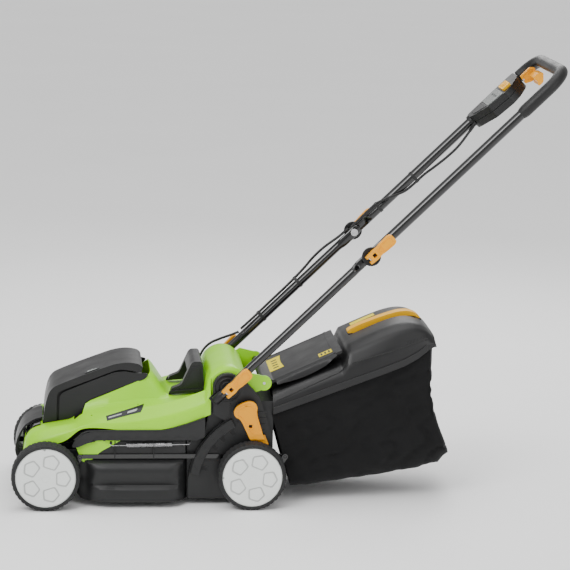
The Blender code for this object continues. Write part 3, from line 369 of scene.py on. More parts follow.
def cylinder(start, end, radius, sides=32):
    """A cylinder between two points."""
    start, end = Vector(start), Vector(end)
    turn = (end - start).to_track_quat("Z", "Y").to_matrix().to_4x4()
    work = bmesh.new()
    bmesh.ops.create_cone(work, cap_ends=True, segments=sides, radius1=radius, radius2=radius,
                          depth=(end - start).length, matrix=Matrix.Translation((start + end) / 2) @ turn)
    return to_mesh(work)


def joined(*meshes):
    """Several meshes as one."""
    work = bmesh.new()
    for mesh in meshes:
        work.from_mesh(mesh)
        bpy.data.meshes.remove(mesh)
    made = bpy.data.meshes.new("joined")
    work.to_mesh(made)
    work.free()
    return made


def carved(mesh, tools, how="DIFFERENCE"):
    """A mesh with Boolean cuts or joins applied at once."""
    thing = linked("carved", mesh)
    helpers = []
    for tool in tools:
        helper = linked("tool", tool)
        helpers.append(helper)
        step = thing.modifiers.new("cut", "BOOLEAN")
        step.operation = how
        step.solver = "EXACT"
        step.object = helper
    mesh = taken(thing)
    for helper in helpers:
        bpy.data.objects.remove(helper)
    return mesh


def thick(mesh, wall, levels=0):
    """A shell of an open surface, smoothed first, with its wall inwards."""
    thing = linked("shell", mesh)
    if levels:
        subdivided(thing, levels)
    step = thing.modifiers.new("wall", "SOLIDIFY")
    step.thickness = wall
    step.offset = -1
    step.use_even_offset = True
    return taken(thing)


def outward(mesh):
    """Turn an arch's faces up and out."""
    highest = max(mesh.polygons, key=lambda face: face.center.z)
    if highest.normal.z < 0:
        mesh.flip_normals()
    return mesh


def mirrored(mesh):
    """The mesh mirrored in Y."""
    mesh.transform(Matrix.Diagonal((1, -1, 1, 1)))
    mesh.flip_normals()
    return mesh


def flipped(mesh, sign):
    """The mesh on the left (-1) or mirrored to the right (+1)."""
    return mirrored(mesh) if sign > 0 else mesh


def opposite(ring):
    """Points mirrored in Y."""
    return [Vector((p.x, -p.y, p.z)) for p in ring]


def shrunk(points, centre, share):
    """Flat points drawn towards a centre."""
    centre = Vector(centre)
    return [tuple(centre + (Vector(p) - centre) * share) for p in points]


def circle(x, z, radius, count=24):
    """Points of a circle in XZ."""
    return [(x + radius * math.cos(2 * math.pi * i / count), z + radius * math.sin(2 * math.pi * i / count))
            for i in range(count)]


def arc(x, z, radius, first, last, count):
    """Points of an arc in degrees, both ends included."""
    turns = [math.radians(first + (last - first) * i / (count - 1)) for i in range(count)]
    return [(x + radius * math.cos(a), z + radius * math.sin(a)) for a in turns]


def rounded(points, radius, count=5):
    """A polygon with its corners turned into arcs."""
    out = []
    size = len(points)
    for i, corner in enumerate(points):
        here = Vector(corner)
        before = Vector(points[i - 1]) - here
        after = Vector(points[(i + 1) % size]) - here
        reach = radius if not isinstance(radius, (list, tuple)) else radius[i]
        reach = min(reach, before.length * 0.48, after.length * 0.48)
        start = here + before.normalized() * reach
        end = here + after.normalized() * reach
        for j in range(count):
            t = j / (count - 1)
            out.append(tuple(start * (1 - t) ** 2 + here * (2 * t * (1 - t)) + end * t ** 2))
    return out


def smooth(points, per_span=6):
    """A Catmull-Rom curve through the points."""
    route = [Vector(p) for p in points]
    padded = [route[0]] + route + [route[-1]]
    out = []
    for a, b, c, d in zip(padded, padded[1:], padded[2:], padded[3:]):
        for i in range(per_span):
            t = i / per_span
            out.append(0.5 * (2 * b + (c - a) * t + (2 * a - 5 * b + 4 * c - d) * t ** 2
                              + (3 * b - a - 3 * c + d) * t ** 3))
    out.append(route[-1])
    return out


def handle_point(along, above=0.0, y=0.0):
    """A point measured along the handle from its lower pivot and above the tubes' centre line."""
    return LOW_PIVOT + ALONG * along + ABOVE * above + Vector((0, y, 0))


def handle_xz(along, above):
    """The same in XZ only."""
    point = handle_point(along, above)
    return (point.x, point.z)


def surface_of(mesh):
    """A smoothed helper object to lay labels on."""
    base = linked("surface", mesh)
    subdivided(base, 2)
    bpy.context.view_layer.update()
    return base


LABEL_WALL = 0.0004


def label(name, corners, look, body):
    """A thin label through four corner points, thickened along their normal."""
    a, b, c, d = (Vector(p) for p in corners)
    normal = (b - a).cross(d - a).normalized() * LABEL_WALL
    work = bmesh.new()
    low = [work.verts.new(p) for p in (a, b, c, d)]
    high = [work.verts.new(p + normal) for p in (a, b, c, d)]
    work.faces.new(reversed(low))
    work.faces.new(high)
    for i in range(4):
        j = (i + 1) % 4
        work.faces.new((low[i], low[j], high[j], high[i]))
    return piece(name, to_mesh(work), look, body)


# ---------------------------------------------------------------- wheels
def wheels():
    """Tyres with a notched shoulder and hub caps with five grooved panels."""
    for end, axle_x in (("front", 0.0), ("rear", WHEELBASE)):
        for side, sign in SIDES.items():
            tyre_piece(f"{end}_{side}", axle_x, sign)
            hub_piece(f"{end}_{side}", axle_x, sign)


def tyre_piece(corner, axle_x, sign):
    """Ring of black plastic: grooved tread and rounded shoulders cut by shallow lugs."""
    wide, narrow, bead = -0.1935, -0.152, 0.0663
    profile = [(bead, wide + 0.0008), (bead + 0.0006, wide), (0.069, wide), (0.0697, wide + 0.0009),
               (0.0712, wide + 0.0009), (0.0732, wide + 0.0022), (0.0744, wide + 0.0044),
               (WHEEL_R, wide + 0.0072), (WHEEL_R, wide + 0.015), (0.0744, wide + 0.0156),
               (0.0744, wide + 0.0172), (WHEEL_R, wide + 0.0178), (WHEEL_R, narrow - 0.016),
               (0.0744, narrow - 0.0154), (0.0744, narrow - 0.0138), (WHEEL_R, narrow - 0.0132),
               (WHEEL_R, narrow - 0.006), (0.0735, narrow - 0.002), (0.071, narrow), (bead + 0.0006, narrow),
               (bead, narrow - 0.0008)]
    shoulder = {5: 0.7, 6: 1.0, 7: 1.0, 8: 1.0, 15: 1.0, 16: 1.0, 17: 0.7}
    lugs = 40

    def wave(number, step):
        """Depth of the gap between two lugs."""
        return -0.0011 * shoulder.get(number, 0) if step % 6 in (4, 5) else 0.0

    mesh = turned(profile, (axle_x, WHEEL_R), steps=lugs * 6, wave=wave)
    piece(f"look_{corner}_tyre", flipped(mesh, sign), TYRE, f"{corner}_wheel",
          (f"{corner}_tyre",), angle=28)


def hub_piece(corner, axle_x, sign):
    """Wheel cap: bevelled rim, five rounded panels ringed by grooves, a sunk centre and a small notch."""
    face, panel_ring, panel_turn = -0.1945, 0.0365, 72
    profile = [(0, face), (0.014, face), (0.06, face - 0.0004), (0.063, face + 0.0004),
               (0.0655, face + 0.003), (0.0655, -0.156), (0.0625, -0.156), (0.0625, -0.187), (0.016, -0.187),
               (0.016, -0.153), (0.0065, -0.153), (0.0065, -0.1862), (0, -0.1862)]
    mesh = turned(profile, (axle_x, WHEEL_R), steps=120)
    first = 67 if corner.startswith("rear") else 72
    cutters = []
    for number in range(5):
        turn = math.radians(first + panel_turn * number)
        centre = Vector((axle_x + panel_ring * math.cos(turn), WHEEL_R + panel_ring * math.sin(turn)))
        shape = []
        for radius, swing in ((0.0205, 0), (0.0212, 66), (0.0198, 134), (0.0198, -134), (0.0212, -66)):
            a = turn + math.radians(swing)
            shape.append((centre.x + radius * math.cos(a), centre.y + radius * math.sin(a)))
        inside = shrunk(shape, centre, 0.8)
        cutters.append(plate(rounded(shape, 0.005, 6), face - 0.003, face + 0.0014,
                             [rounded(inside, 0.004, 6)]))
        # A grey strip on each groove's floor: painted shade that darkens the groove against the white cap.
        line = plate(rounded(shape, 0.005, 6), face + 0.0011, face + 0.002, [rounded(inside, 0.004, 6)])
        piece(f"look_{corner}_hub_groove_shade_{number}", flipped(line, sign), HUB_GROOVE_SHADE, f"{corner}_wheel")
    cutters.append(plate(circle(axle_x, WHEEL_R, 0.0085), face - 0.003, face + 0.0007))
    notch_ring = 0.064
    notch = math.radians(180 if corner.startswith("rear") else 92)
    spot = Vector((axle_x + notch_ring * math.cos(notch), WHEEL_R + notch_ring * math.sin(notch)))
    cutters.append(plate(circle(spot.x, spot.y, 0.0026, 12), face - 0.003, face + 0.006))
    mesh = carved(mesh, cutters)
    piece(f"look_{corner}_hub", flipped(mesh, sign), WHITE, f"{corner}_wheel",
          (f"{corner}_hub",), bevel=0.0005, segments=2, angle=30)


# ---------------------------------------------------------------- green cover and battery lid
def creased(rows, lines, rings):
    """Open surface through arches of points, creased along its outer lines and across some arches."""
    work = bmesh.new()
    points = [[work.verts.new(p) for p in row] for row in rows]
    last = len(rows[0]) - 1
    for first, second in zip(points, points[1:]):
        for j in range(last):
            work.faces.new((first[j], first[j + 1], second[j + 1], second[j]))
    crease = work.edges.layers.float.new("crease_edge")
    for number, amount in rings.items():
        for a, b in zip(points[number], points[number][1:]):
            work.edges.get((a, b))[crease] = amount
    for first, second in zip(points, points[1:]):
        for j, amount in enumerate(lines):
            for k in (j, last - j):
                work.edges.get((first[k], second[k]))[crease] = amount
    return outward(to_mesh(work))


def section(x, points):
    """One arch of a cover: (y, z) points from the middle to an edge, mirrored."""
    right = [(x, y, z) for y, z in reversed(points)]
    return [(px, -py, pz) for px, py, pz in right] + [(px, py, pz) for px, py, pz in reversed(right)]


COVER_ROWS = [
    (-0.051, [(0.07, 0.095), (0.085, 0.094), (0.1, 0.093), (0.112, 0.092), (0.114, 0.091)]),
    (-0.047, [(0.07, 0.15), (0.088, 0.149), (0.104, 0.142), (0.117, 0.128), (0.119, 0.11)]),
    (-0.025, [(0.072, 0.166), (0.092, 0.166), (0.116, 0.16), (0.13, 0.142), (0.132, 0.134)]),
    (0.0, [(0.076, 0.171), (0.098, 0.171), (0.122, 0.168), (0.137, 0.148), (0.139, 0.136)]),
    (0.03, [(0.079, 0.176), (0.098, 0.177), (0.124, 0.176), (0.141, 0.16), (0.143, 0.1405)]),
    (0.048, [(0.08, 0.179), (0.096, 0.181), (0.124, 0.179), (0.141, 0.166), (0.143, 0.149)]),
    (0.062, [(0.079, 0.183), (0.094, 0.184), (0.124, 0.182), (0.143, 0.172), (0.145, 0.163)]),
    (0.067, [(0.076, 0.2), (0.091, 0.189), (0.124, 0.183), (0.143, 0.175), (0.145, 0.167)]),
    (0.08, [(0.071, 0.252), (0.089, 0.205), (0.125, 0.187), (0.144, 0.182), (0.146, 0.1765)]),
    (0.12, [(0.071, 0.276), (0.09, 0.214), (0.126, 0.197), (0.145, 0.188), (0.147, 0.1765)]),
    (0.16, [(0.071, 0.2935), (0.091, 0.221), (0.126, 0.205), (0.145, 0.188), (0.147, 0.1712)]),
    (0.19, [(0.071, 0.301), (0.091, 0.225), (0.126, 0.211), (0.145, 0.19), (0.147, 0.1712)]),
    (0.215, [(0.07, 0.299), (0.09, 0.228), (0.126, 0.216), (0.145, 0.193), (0.147, 0.1712)]),
    (0.235, [(0.069, 0.283), (0.088, 0.228), (0.126, 0.22), (0.145, 0.196), (0.147, 0.1712)]),
    (0.252, [(0.067, 0.256), (0.087, 0.229), (0.126, 0.224), (0.145, 0.198), (0.147, 0.172)]),
    (0.268, [(0.064, 0.23), (0.087, 0.229), (0.125, 0.229), (0.144, 0.203), (0.146, 0.175)]),
    (0.3, [(0.062, 0.23), (0.088, 0.232), (0.123, 0.238), (0.143, 0.211), (0.145, 0.183)]),
    (0.33, [(0.06, 0.234), (0.088, 0.237), (0.121, 0.249), (0.142, 0.221), (0.144, 0.1915)]),
    (0.348, [(0.06, 0.238), (0.088, 0.241), (0.12, 0.256), (0.141, 0.23), (0.143, 0.2)]),
]
HUMP = (0.398, 0.264, 0.047)
WELL = [(0.0625, 0.15), (0.066, 0.16), (0.087, 0.216), (0.098, 0.223), (0.219, 0.273), (0.23, 0.284),
        (0.2335, 0.297), (0.2245, 0.309), (0.2, 0.33), (0.06, 0.33)]


def cover_skin():
    """Open surface of the green cover: cowl, battery housing, shoulders, skirts and round hump."""
    rows = [section(x, points) for x, points in COVER_ROWS]
    x0, z0, radius = HUMP
    for x, edge in ((0.3518, 0.2018), (0.3545, 0.203), (0.36, 0.205)):
        top = z0 + math.sqrt(radius ** 2 - (x - x0) ** 2)
        rows.append(section(x, [(0.106, top), (0.118, top - 0.003), (0.1245, top - 0.01), (0.141, 0.235),
                                (0.143, edge)]))
    for x in (0.362, 0.372, 0.385, 0.398, 0.411, 0.424, 0.436, 0.442, 0.4452):
        top = z0 + math.sqrt(max(0, radius ** 2 - (x - x0) ** 2))
        rows.append(section(x, [(0.106, top), (0.118, top - 0.003), (0.1245, max(top - 0.01, 0.244)),
                                (0.1265, 0.243), (0.127, 0.24)]))
    done = len(COVER_ROWS)
    rings = {done - 1: 0.9, done: 0.5, done + 2: 1.0, done + 3: 1.0}
    return creased(rows, (1.0, 0.85, 0.6, 0.75, 0.45), rings)


def cover():
    """Green cover with the well for the battery lid, hinge lugs, screw dimples and side labels."""
    mesh = thick(cover_skin(), 0.0025, levels=2)
    cuts = [block((-0.0075, -0.08, 0.14), (0.0653, 0.08, 0.331)), plate(WELL, -0.1, 0.1)]
    for sign in SIDES.values():
        low, high = sorted((sign * 0.118, sign * 0.15))
        cuts.append(cylinder((LOW_PIVOT.x, low, LOW_PIVOT.z), (LOW_PIVOT.x, high, LOW_PIVOT.z), 0.0046))
        for x, y, z in ((0.1, 0.115, 0.21), (0.202, 0.108, 0.235), (0.295, 0.106, 0.245)):
            cuts.append(cylinder((x, sign * y, z - 0.026), (x, sign * y, z), 0.002, 16))
    mesh = carved(mesh, cuts)
    piece("look_cover", mesh, GREEN, "chassis", ("top_cover",), angle=40)
    for side, sign in SIDES.items():
        lug = arc(HINGE[0], HINGE[1], 0.0165, -110, 100,
                  24) + [(0.442, 0.296), (0.433, 0.29), (0.433, 0.242)]
        mesh = plate(rounded(lug, 0.002, 3), -0.1268, -0.12, [circle(*HINGE, 0.0032)])
        piece(f"look_flap_lug_{side}", flipped(mesh, sign), GREEN, "chassis", bevel=0.0022,
              segments=4)
        lobe = [(0.064, 0.137), (0.079, 0.147), (0.118, 0.149), (0.166, 0.149), (0.144, 0.135),
                (0.12, 0.122), (0.106, 0.108), (0.093, 0.097), (0.079, 0.099)]
        mesh = plate(rounded(lobe, 0.006, 5), -0.1425, -0.1396)
        piece(f"look_green_lobe_{side}", flipped(mesh, sign), GREEN, "chassis", bevel=0.001)
        side_label(side, sign)


def side_label(side, sign):
    """Slanted black label with two plain grey bars on the cover's flank."""
    shape = [(0.131, 0.1985), (0.215, 0.2215), (0.207, 0.208), (0.1335, 0.1905)]
    base = surface_of(cover_skin())
    surface = base.evaluated_get(bpy.context.evaluated_depsgraph_get())
    long_bar = [(0.137, 0.1968), (0.166, 0.2044), (0.165, 0.2024), (0.1364, 0.1948)]
    short_bar = [(0.179, 0.2082), (0.2, 0.214), (0.197, 0.2098), (0.1775, 0.2046)]
    for name, (a, b, c, d), look, lift in (("label", shape, PRINT, 0.0004),
                                           ("bar_long", long_bar, PRINT_GREY, 0.0007),
                                           ("bar_short", short_bar, PRINT_GREY, 0.0007)):
        rows = []
        for i in range(13):
            t = i / 12
            row = []
            for j in range(5):
                u = j / 4
                x = (a[0] * (1 - t) + b[0] * t) * (1 - u) + (d[0] * (1 - t) + c[0] * t) * u
                z = (a[1] * (1 - t) + b[1] * t) * (1 - u) + (d[1] * (1 - t) + c[1] * t) * u
                found, spot, normal, _ = surface.ray_cast(Vector((x, sign * 0.25, z)), Vector((0, -sign, 0)))
                row.append(spot + normal * lift if found else Vector((x, sign * 0.14, z)))
            rows.append(row)
        mesh = thick(grid(rows), 0.0003)
        piece(f"look_side_{name}_{side}", mesh, look, "chassis")
    bpy.data.objects.remove(base)


LID_TOP = [(-0.006, 0.16), (-0.0045, 0.19), (-0.001, 0.212), (0.004, 0.232), (0.012, 0.246), (0.027, 0.2565),
           (0.08, 0.278), (0.13, 0.2965), (0.154, 0.304), (0.18, 0.307), (0.203, 0.3035), (0.2125, 0.296)]
LID_RIM = [(0.211, 0.289), (0.205, 0.285), (0.173, 0.2905), (0.15, 0.288), (0.101, 0.269), (0.036, 0.244),
           (0.026, 0.235), (0.024, 0.222), (0.024, 0.16)]


def battery_lid():
    """Grey battery lid: a hollow bent cap with soft edges and a small label, and the bay's side panels."""
    mesh = plate(smooth(LID_TOP, 4) + smooth(LID_RIM, 3), -0.0775, 0.0775)
    hollow = [(-0.003, 0.15), (0.002, 0.2115), (0.0068, 0.2308), (0.0142, 0.2435), (0.028, 0.2536),
              (0.081, 0.275), (0.131, 0.2935), (0.1546, 0.301), (0.18, 0.304), (0.2, 0.301), (0.203, 0.27),
              (0.06, 0.15)]
    mesh = carved(mesh, [plate(hollow, -0.0745, 0.0745)])
    piece("look_battery_lid", mesh, GREY, "battery_lid", ("battery_lid",), bevel=0.0048,
          segments=6, angle=50)
    for side, sign in SIDES.items():
        panel = [(0.028, 0.166), (0.065, 0.166), (0.088, 0.213), (0.099, 0.22), (0.217, 0.27),
                 (0.227, 0.281), (0.216, 0.285), (0.205, 0.2825), (0.173, 0.288), (0.15, 0.2855),
                 (0.101, 0.2665), (0.04, 0.2415), (0.03, 0.233)]
        mesh = plate(rounded(panel, 0.006, 4), -0.0796, -0.0779)
        piece(f"look_bay_side_{side}", flipped(mesh, sign), TRIM, "chassis", bevel=0.0005)
    slope = math.atan2(0.0185, 0.05)
    along = Vector((math.cos(slope), 0, math.sin(slope)))
    for number, (start, end, low, high, look) in enumerate((
            (0.0, 0.034, -0.07, -0.05, PRINT), (0.006, 0.028, -0.064, -0.0615, PRINT_GREY),
            (0.006, 0.02, -0.0585, -0.057, PRINT_GREY))):
        base = Vector((0.085, 0, 0.2806 + 0.0003 * (number > 0)))
        corners = [base + along * start + Vector((0, low, 0)), base + along * end + Vector((0, low, 0)),
                   base + along * end + Vector((0, high, 0)), base + along * start + Vector((0, high, 0))]
        label(f"look_lid_label_{number}", corners, look, "battery_lid")


# ---------------------------------------------------------------- deck
def deck():
    """Blade deck: skirt with a rolled bulge and step, then its top and chute, flanges and trim."""
    plan = [(-0.04, 0.085), (-0.034, 0.1), (-0.025, 0.112), (-0.01, 0.119), (0.01, 0.122), (0.04, 0.1235),
            (0.066, 0.1255), (0.076, 0.13), (0.084, 0.142), (0.092, 0.151), (0.104, 0.16), (0.118, 0.1655),
            (0.134, 0.1685), (0.152, 0.17), (0.175, 0.17), (0.2, 0.17), (0.225, 0.17), (0.25, 0.17),
            (0.268, 0.17), (0.28, 0.166), (0.29, 0.16), (0.3, 0.15), (0.306, 0.138), (0.31, 0.1278),
            (0.345, 0.1275), (0.362, 0.1275), (0.42, 0.1275), (0.5, 0.1275)]
    profile = [(0.014, 0.17), (0.015, 0.17), (0.039, 0.169), (0.042, 0.168), (0.047, 0.16), (0.05, 0.1585),
               (0.056, 0.161), (0.064, 0.164), (0.074, 0.166), (0.084, 0.1655), (0.092, 0.162),
               (0.098, 0.156), (0.102, 0.148), (0.1045, 0.14), (0.11, 0.1392), (0.13, 0.1392),
               (0.144, 0.1392)]
    rear = (0.014, 0.02, 0.03, 0.04, 0.05, 0.06, 0.07, 0.08, 0.085, 0.09, 0.095, 0.098, 0.101, 0.104, 0.12,
            0.17, 0.232)
    skirt_first, skirt_last, chute_start = 7, 22, 24
    nose_low, nose_high = 0.028, 0.122
    rings = []
    for level, (z, widest) in enumerate(profile):
        half = []
        for number, (x, y) in enumerate(plan):
            across = y
            height = z
            if skirt_first <= number <= skirt_last:
                across = min(y, widest)
            if number < skirt_first:
                height = nose_low + (nose_high - nose_low) * level / (len(profile) - 1)
            if number > chute_start:
                height = rear[level]
            half.append(Vector((x, -across, height)))
        rings.append(half)
    wall = thick(outward_left(grid(rings)), 0.003)
    right = mirrored(wall.copy())
    piece("look_deck_wall_left", wall, BLACK, "chassis", ("deck",), bevel=0.0012, angle=40)
    piece("look_deck_wall_right", right, BLACK, "chassis", bevel=0.0012, angle=40)
    deck_top()
    for side, sign in SIDES.items():
        flange(side, sign)
        deck_trim(side, sign)


def outward_left(mesh):
    """Turn the left wall's faces towards -Y."""
    middle = min(mesh.polygons, key=lambda face: face.center.y)
    if middle.normal.y > 0:
        mesh.flip_normals()
    return mesh


def deck_top():
    """Flat top under the cover with the motor's opening, and the chute's roof and end wall."""
    outline = [(-0.038, -0.083), (-0.024, -0.11), (0.0, -0.119), (0.075, -0.124), (0.095, -0.137),
               (0.3, -0.137), (0.306, -0.126), (0.352, -0.1262)]
    loop = outline + [(x, -y) for x, y in reversed(outline)]
    work = bmesh.new()
    low = [work.verts.new((x, y, 0.118 + 0.026 * min(1, max(0, (x + 0.038) / 0.12)))) for x, y in loop]
    high = [work.verts.new(v.co + Vector((0, 0, 0.003))) for v in low]
    count = len(loop)
    for i in range(count // 2 - 1):
        work.faces.new((low[i], low[i + 1], low[count - 2 - i], low[count - 1 - i]))
        work.faces.new((high[i], high[i + 1], high[count - 2 - i], high[count - 1 - i]))
    for i in range(count):
        j = (i + 1) % count
        work.faces.new((low[i], low[j], high[j], high[i]))
    mesh = carved(to_mesh(work), [cylinder((0.205, 0, 0.1), (0.205, 0, 0.17), 0.0425, 48)])
    piece("look_deck_top", mesh, BLACK, "chassis", bevel=0.0008)
    roof = [(0.35, 0.144), (0.362, 0.148), (0.42, 0.19), (0.47, 0.229), (0.5, 0.232), (0.5, 0.229),
            (0.471, 0.226), (0.422, 0.187), (0.363, 0.145), (0.35, 0.141)]
    piece("look_chute_roof", plate(roof, -0.1255, 0.1255), BLACK, "chassis", bevel=0.0008)
    floor = [(0.31, 0.014), (0.313, 0.014), (0.35, 0.052), (0.42, 0.073), (0.5, 0.073), (0.5, 0.076),
             (0.419, 0.076), (0.348, 0.0548), (0.31, 0.017)]
    piece("look_chute_floor", plate(floor, -0.1255, 0.1255), BLACK, "chassis", bevel=0.0008)


def flange(side, sign):
    """Side flange under the cover: a band with a row of niches and a lip along its top."""
    top = [(0.064, 0.15), (0.082, 0.164), (0.102, 0.1685), (0.14, 0.169), (0.26, 0.169), (0.308, 0.183),
           (0.348, 0.198)]
    low = [(0.348, 0.156), (0.33, 0.148), (0.132, 0.148), (0.112, 0.1475), (0.09, 0.142), (0.07, 0.133),
           (0.056, 0.133)]
    base = plate(rounded(top + low, 0.004, 4), -0.1497, -0.1392)
    cuts = []
    first, pitch = 0.113, 0.029
    for number in range(8):
        x = first + pitch * number
        niche = [(x - 0.0125, 0.1465), (x - 0.0095, 0.153), (x - 0.004, 0.158), (x, 0.1595),
                 (x + 0.004, 0.158), (x + 0.0095, 0.153), (x + 0.0125, 0.1465)]
        cuts.append(plate(niche, -0.152, -0.1455))
    mesh = carved(base, cuts)
    piece(f"look_deck_flange_{side}", flipped(mesh, sign), BLACK, "chassis", bevel=0.0011,
          angle=40)
    lip = [(0.06, 0.15), (0.078, 0.1665), (0.09, 0.1712), (0.12, 0.1722), (0.26, 0.1722), (0.308, 0.1862),
           (0.348, 0.201), (0.348, 0.1985), (0.308, 0.1832), (0.26, 0.1692), (0.12, 0.1692), (0.093, 0.1682),
           (0.08, 0.164), (0.064, 0.149)]
    mesh = plate(lip, -0.1515, -0.144)
    piece(f"look_deck_lip_{side}", flipped(mesh, sign), BLACK, "chassis", bevel=0.0008)


def deck_trim(side, sign):
    """Ribs behind the front wheel, a gusset on the step, slanted stays and the skirt's rolled foot."""
    for number, x in enumerate((0.085, 0.098, 0.111)):
        rib = block((x - 0.0011, -0.14 - 0.0045 * number, 0.03), (x + 0.0011, -0.125, 0.096))
        piece(f"look_deck_rib_{side}_{number}", flipped(rib, sign), BLACK, "chassis",
              bevel=0.0006)
    work = bmesh.new()
    corners = [(0.118, -0.16, 0.043), (0.17, -0.161, 0.048), (0.132, -0.169, 0.025), (0.118, -0.1655, 0.023),
               (0.134, -0.159, 0.05)]
    points = [work.verts.new(c) for c in corners]
    for a, b, c in ((0, 2, 1), (0, 3, 2), (0, 1, 4)):
        work.faces.new((points[a], points[b], points[c]))
    mesh = thick(to_mesh(work), 0.0012)
    piece(f"look_deck_gusset_{side}", flipped(mesh, sign), BLACK, "chassis", bevel=0.0005)
    for number, x in enumerate((0.15, 0.235)):
        stay = plate([(x, 0.105), (x + 0.0022, 0.105), (x + 0.0022, 0.147), (x, 0.147)], -0.145, -0.1385)
        piece(f"look_deck_stay_{side}_{number}", flipped(stay, sign), BLACK, "chassis",
              bevel=0.0005)
    foot = tube([(x, -y - 0.0005, 0.0158) for x, y in ((0.118, 0.1655), (0.134, 0.1685), (0.152, 0.1697),
                                                       (0.268, 0.1697), (0.28, 0.166), (0.29, 0.16),
                                                       (0.3, 0.15))], 0.0018, sides=3)
    piece(f"look_deck_foot_{side}", flipped(foot, sign), BLACK, "chassis")


# ---------------------------------------------------------------- side brackets, levers and spring
DIGITS = {"1": ["..#", ".##", "..#", "..#", "..#"], "2": ["###", "..#", "###", "#..", "###"],
          "3": ["###", "..#", ".##", "..#", "###"], "4": ["#.#", "#.#", "###", "..#", "..#"],
          "5": ["###", "#..", "###", "..#", "###"], "6": ["###", "#..", "###", "#.#", "###"]}


def brackets():
    """Side brackets: ribbed wall, pivot dome with raised rings, height quadrant with notches and numbers."""
    for side, sign in SIDES.items():
        bracket_wall(side, sign)
        dome(side, sign)
        quadrant(side, sign)


def bracket_wall(side, sign):
    """The bracket's plate with its bevelled edge, rear ribs and upright stays."""
    band = arc(*BRACKET, 0.17, 122, 169.0, 24)
    outline = arc(LOW_PIVOT.x, LOW_PIVOT.z, 0.0325, 165, 60,
                  24) + [(0.43, 0.284), (0.452, 0.262), (0.468, 0.244)]
    outline += [(0.486, 0.19), (0.497, 0.15), (0.5, 0.11), (0.5, 0.014), (0.312, 0.014), (0.3125, 0.06)]
    outline += list(reversed(band))[1:] + [(0.366, 0.205)]
    mesh = plate(outline, -0.1405, -0.1285, [circle(LOW_PIVOT.x, LOW_PIVOT.z, 0.0046),
                                             circle(*BRACKET, 0.0058)])
    if side == "left":
        mesh = carved(mesh, [block((0.3, -0.1445, 0.1), (0.38, -0.1398, 0.1345))])
    piece(f"look_bracket_{side}", flipped(mesh, sign), BLACK, "chassis",
          (f"side_bracket_{side}",), bevel=0.0014, angle=40)
    for number in range(7):
        x = 0.476 + 0.0005 * number
        z = 0.128 + 0.0135 * number
        rib = block((x - 0.016, -0.1422, z), (x + 0.004, -0.14, z + 0.0028))
        piece(f"look_bracket_rib_{side}_{number}", flipped(rib, sign), BLACK, "chassis",
              bevel=0.0006)
    for number, (x, z, tall) in enumerate(((0.402, 0.178, 0.052), (0.418, 0.186, 0.046),
                                           (0.434, 0.19, 0.04))):
        rib = block((x, -0.1424, z), (x + 0.0025, -0.14, z + tall))
        piece(f"look_bracket_stay_{side}_{number}", flipped(rib, sign), TRIM, "chassis",
              bevel=0.0006)


def dome(side, sign):
    """Round boss around the lower pivot with raised rings and a socket at the tube's tail."""
    centre = (LOW_PIVOT.x, LOW_PIVOT.z)
    face = -0.1405
    profile = [(0.0046, face + 0.003), (0.0046, face - 0.0022), (0.013, face - 0.0022),
               (0.0135, face - 0.0012), (0.018, face - 0.0012), (0.0185, face - 0.0021),
               (0.0215, face - 0.0021), (0.022, face - 0.001), (0.0265, face - 0.0008),
               (0.027, face - 0.0017), (0.0295, face - 0.0015), (0.0315, face - 0.0002),
               (0.0318, face + 0.003)]
    mesh = turned(profile, centre, steps=72)
    piece(f"look_dome_{side}", flipped(mesh, sign), BLACK, "chassis", bevel=0.0004, segments=2)
    shape = [handle_xz(a, b) for a, b in ((-0.046, -0.012), (-0.024, -0.012), (-0.024, 0.012),
                                          (-0.046, 0.012))]
    hollow = [handle_xz(a, b) for a, b in ((-0.0425, -0.0085), (-0.0275, -0.0085), (-0.0275, 0.0085),
                                           (-0.0425, 0.0085))]
    box = carved(plate(rounded(shape, 0.0025, 4), -0.1425, -0.1385), [plate(hollow, -0.145, -0.1408)])
    piece(f"look_tail_socket_{side}", flipped(box, sign), TRIM, "chassis", bevel=0.0007)


def quadrant(side, sign):
    """Raised height scale: a curved band with a rim, five framed notches and numbers along it."""
    first, last = 117, 171
    outer = arc(*BRACKET, 0.168, first, last, 36)
    inner = arc(*BRACKET, 0.147, last, first, 36)
    mesh = plate(outer + inner, -0.149, -0.139)
    piece(f"look_quadrant_{side}", flipped(mesh, sign), BLACK, "chassis", bevel=0.001)
    for name, low, high in (("outer", 0.1662, 0.168), ("inner", 0.147, 0.1484)):
        rim = plate(arc(*BRACKET, high, first, last, 36) + arc(*BRACKET, low, last, first, 36), -0.15,
                    -0.1485)
        piece(f"look_quadrant_rim_{name}_{side}", flipped(rim, sign), BLACK, "chassis",
              bevel=0.0005)
    if side == "right":
        return
    for step in range(5):
        turn = math.radians(121.5 + 10.7 * step)
        out = Vector((math.cos(turn), math.sin(turn)))
        across = Vector((-out.y, out.x))
        middle = Vector(BRACKET) + out * 0.1385

        def spot(a, b):
            """A point out along the radius and across it."""
            place = middle + out * a + across * b
            return (place.x, place.y)

        frame_shape = [spot(-0.007, -0.0062), spot(0.007, -0.0062), spot(0.007, 0.0062),
                       spot(-0.007, 0.0062)]
        window = [spot(-0.0048, -0.0042), spot(0.005, -0.0042), spot(0.005, 0.0042), spot(-0.0048, 0.0042)]
        mesh = plate(frame_shape, -0.1409, -0.1395, [window])
        piece(f"look_notch_frame_{step}", mesh, BLACK, "chassis", bevel=0.0004)
        # The notch's floor in deepest black: painted shade inside the notch.
        piece(f"look_notch_floor_{step}", plate(window, -0.1406, -0.1396), BAY_BLACK_AND_SLOT_SHADE, "chassis")
    for step in range(6):
        numeral(str(step + 1), math.radians(119.5 + 9.2 * step), step)


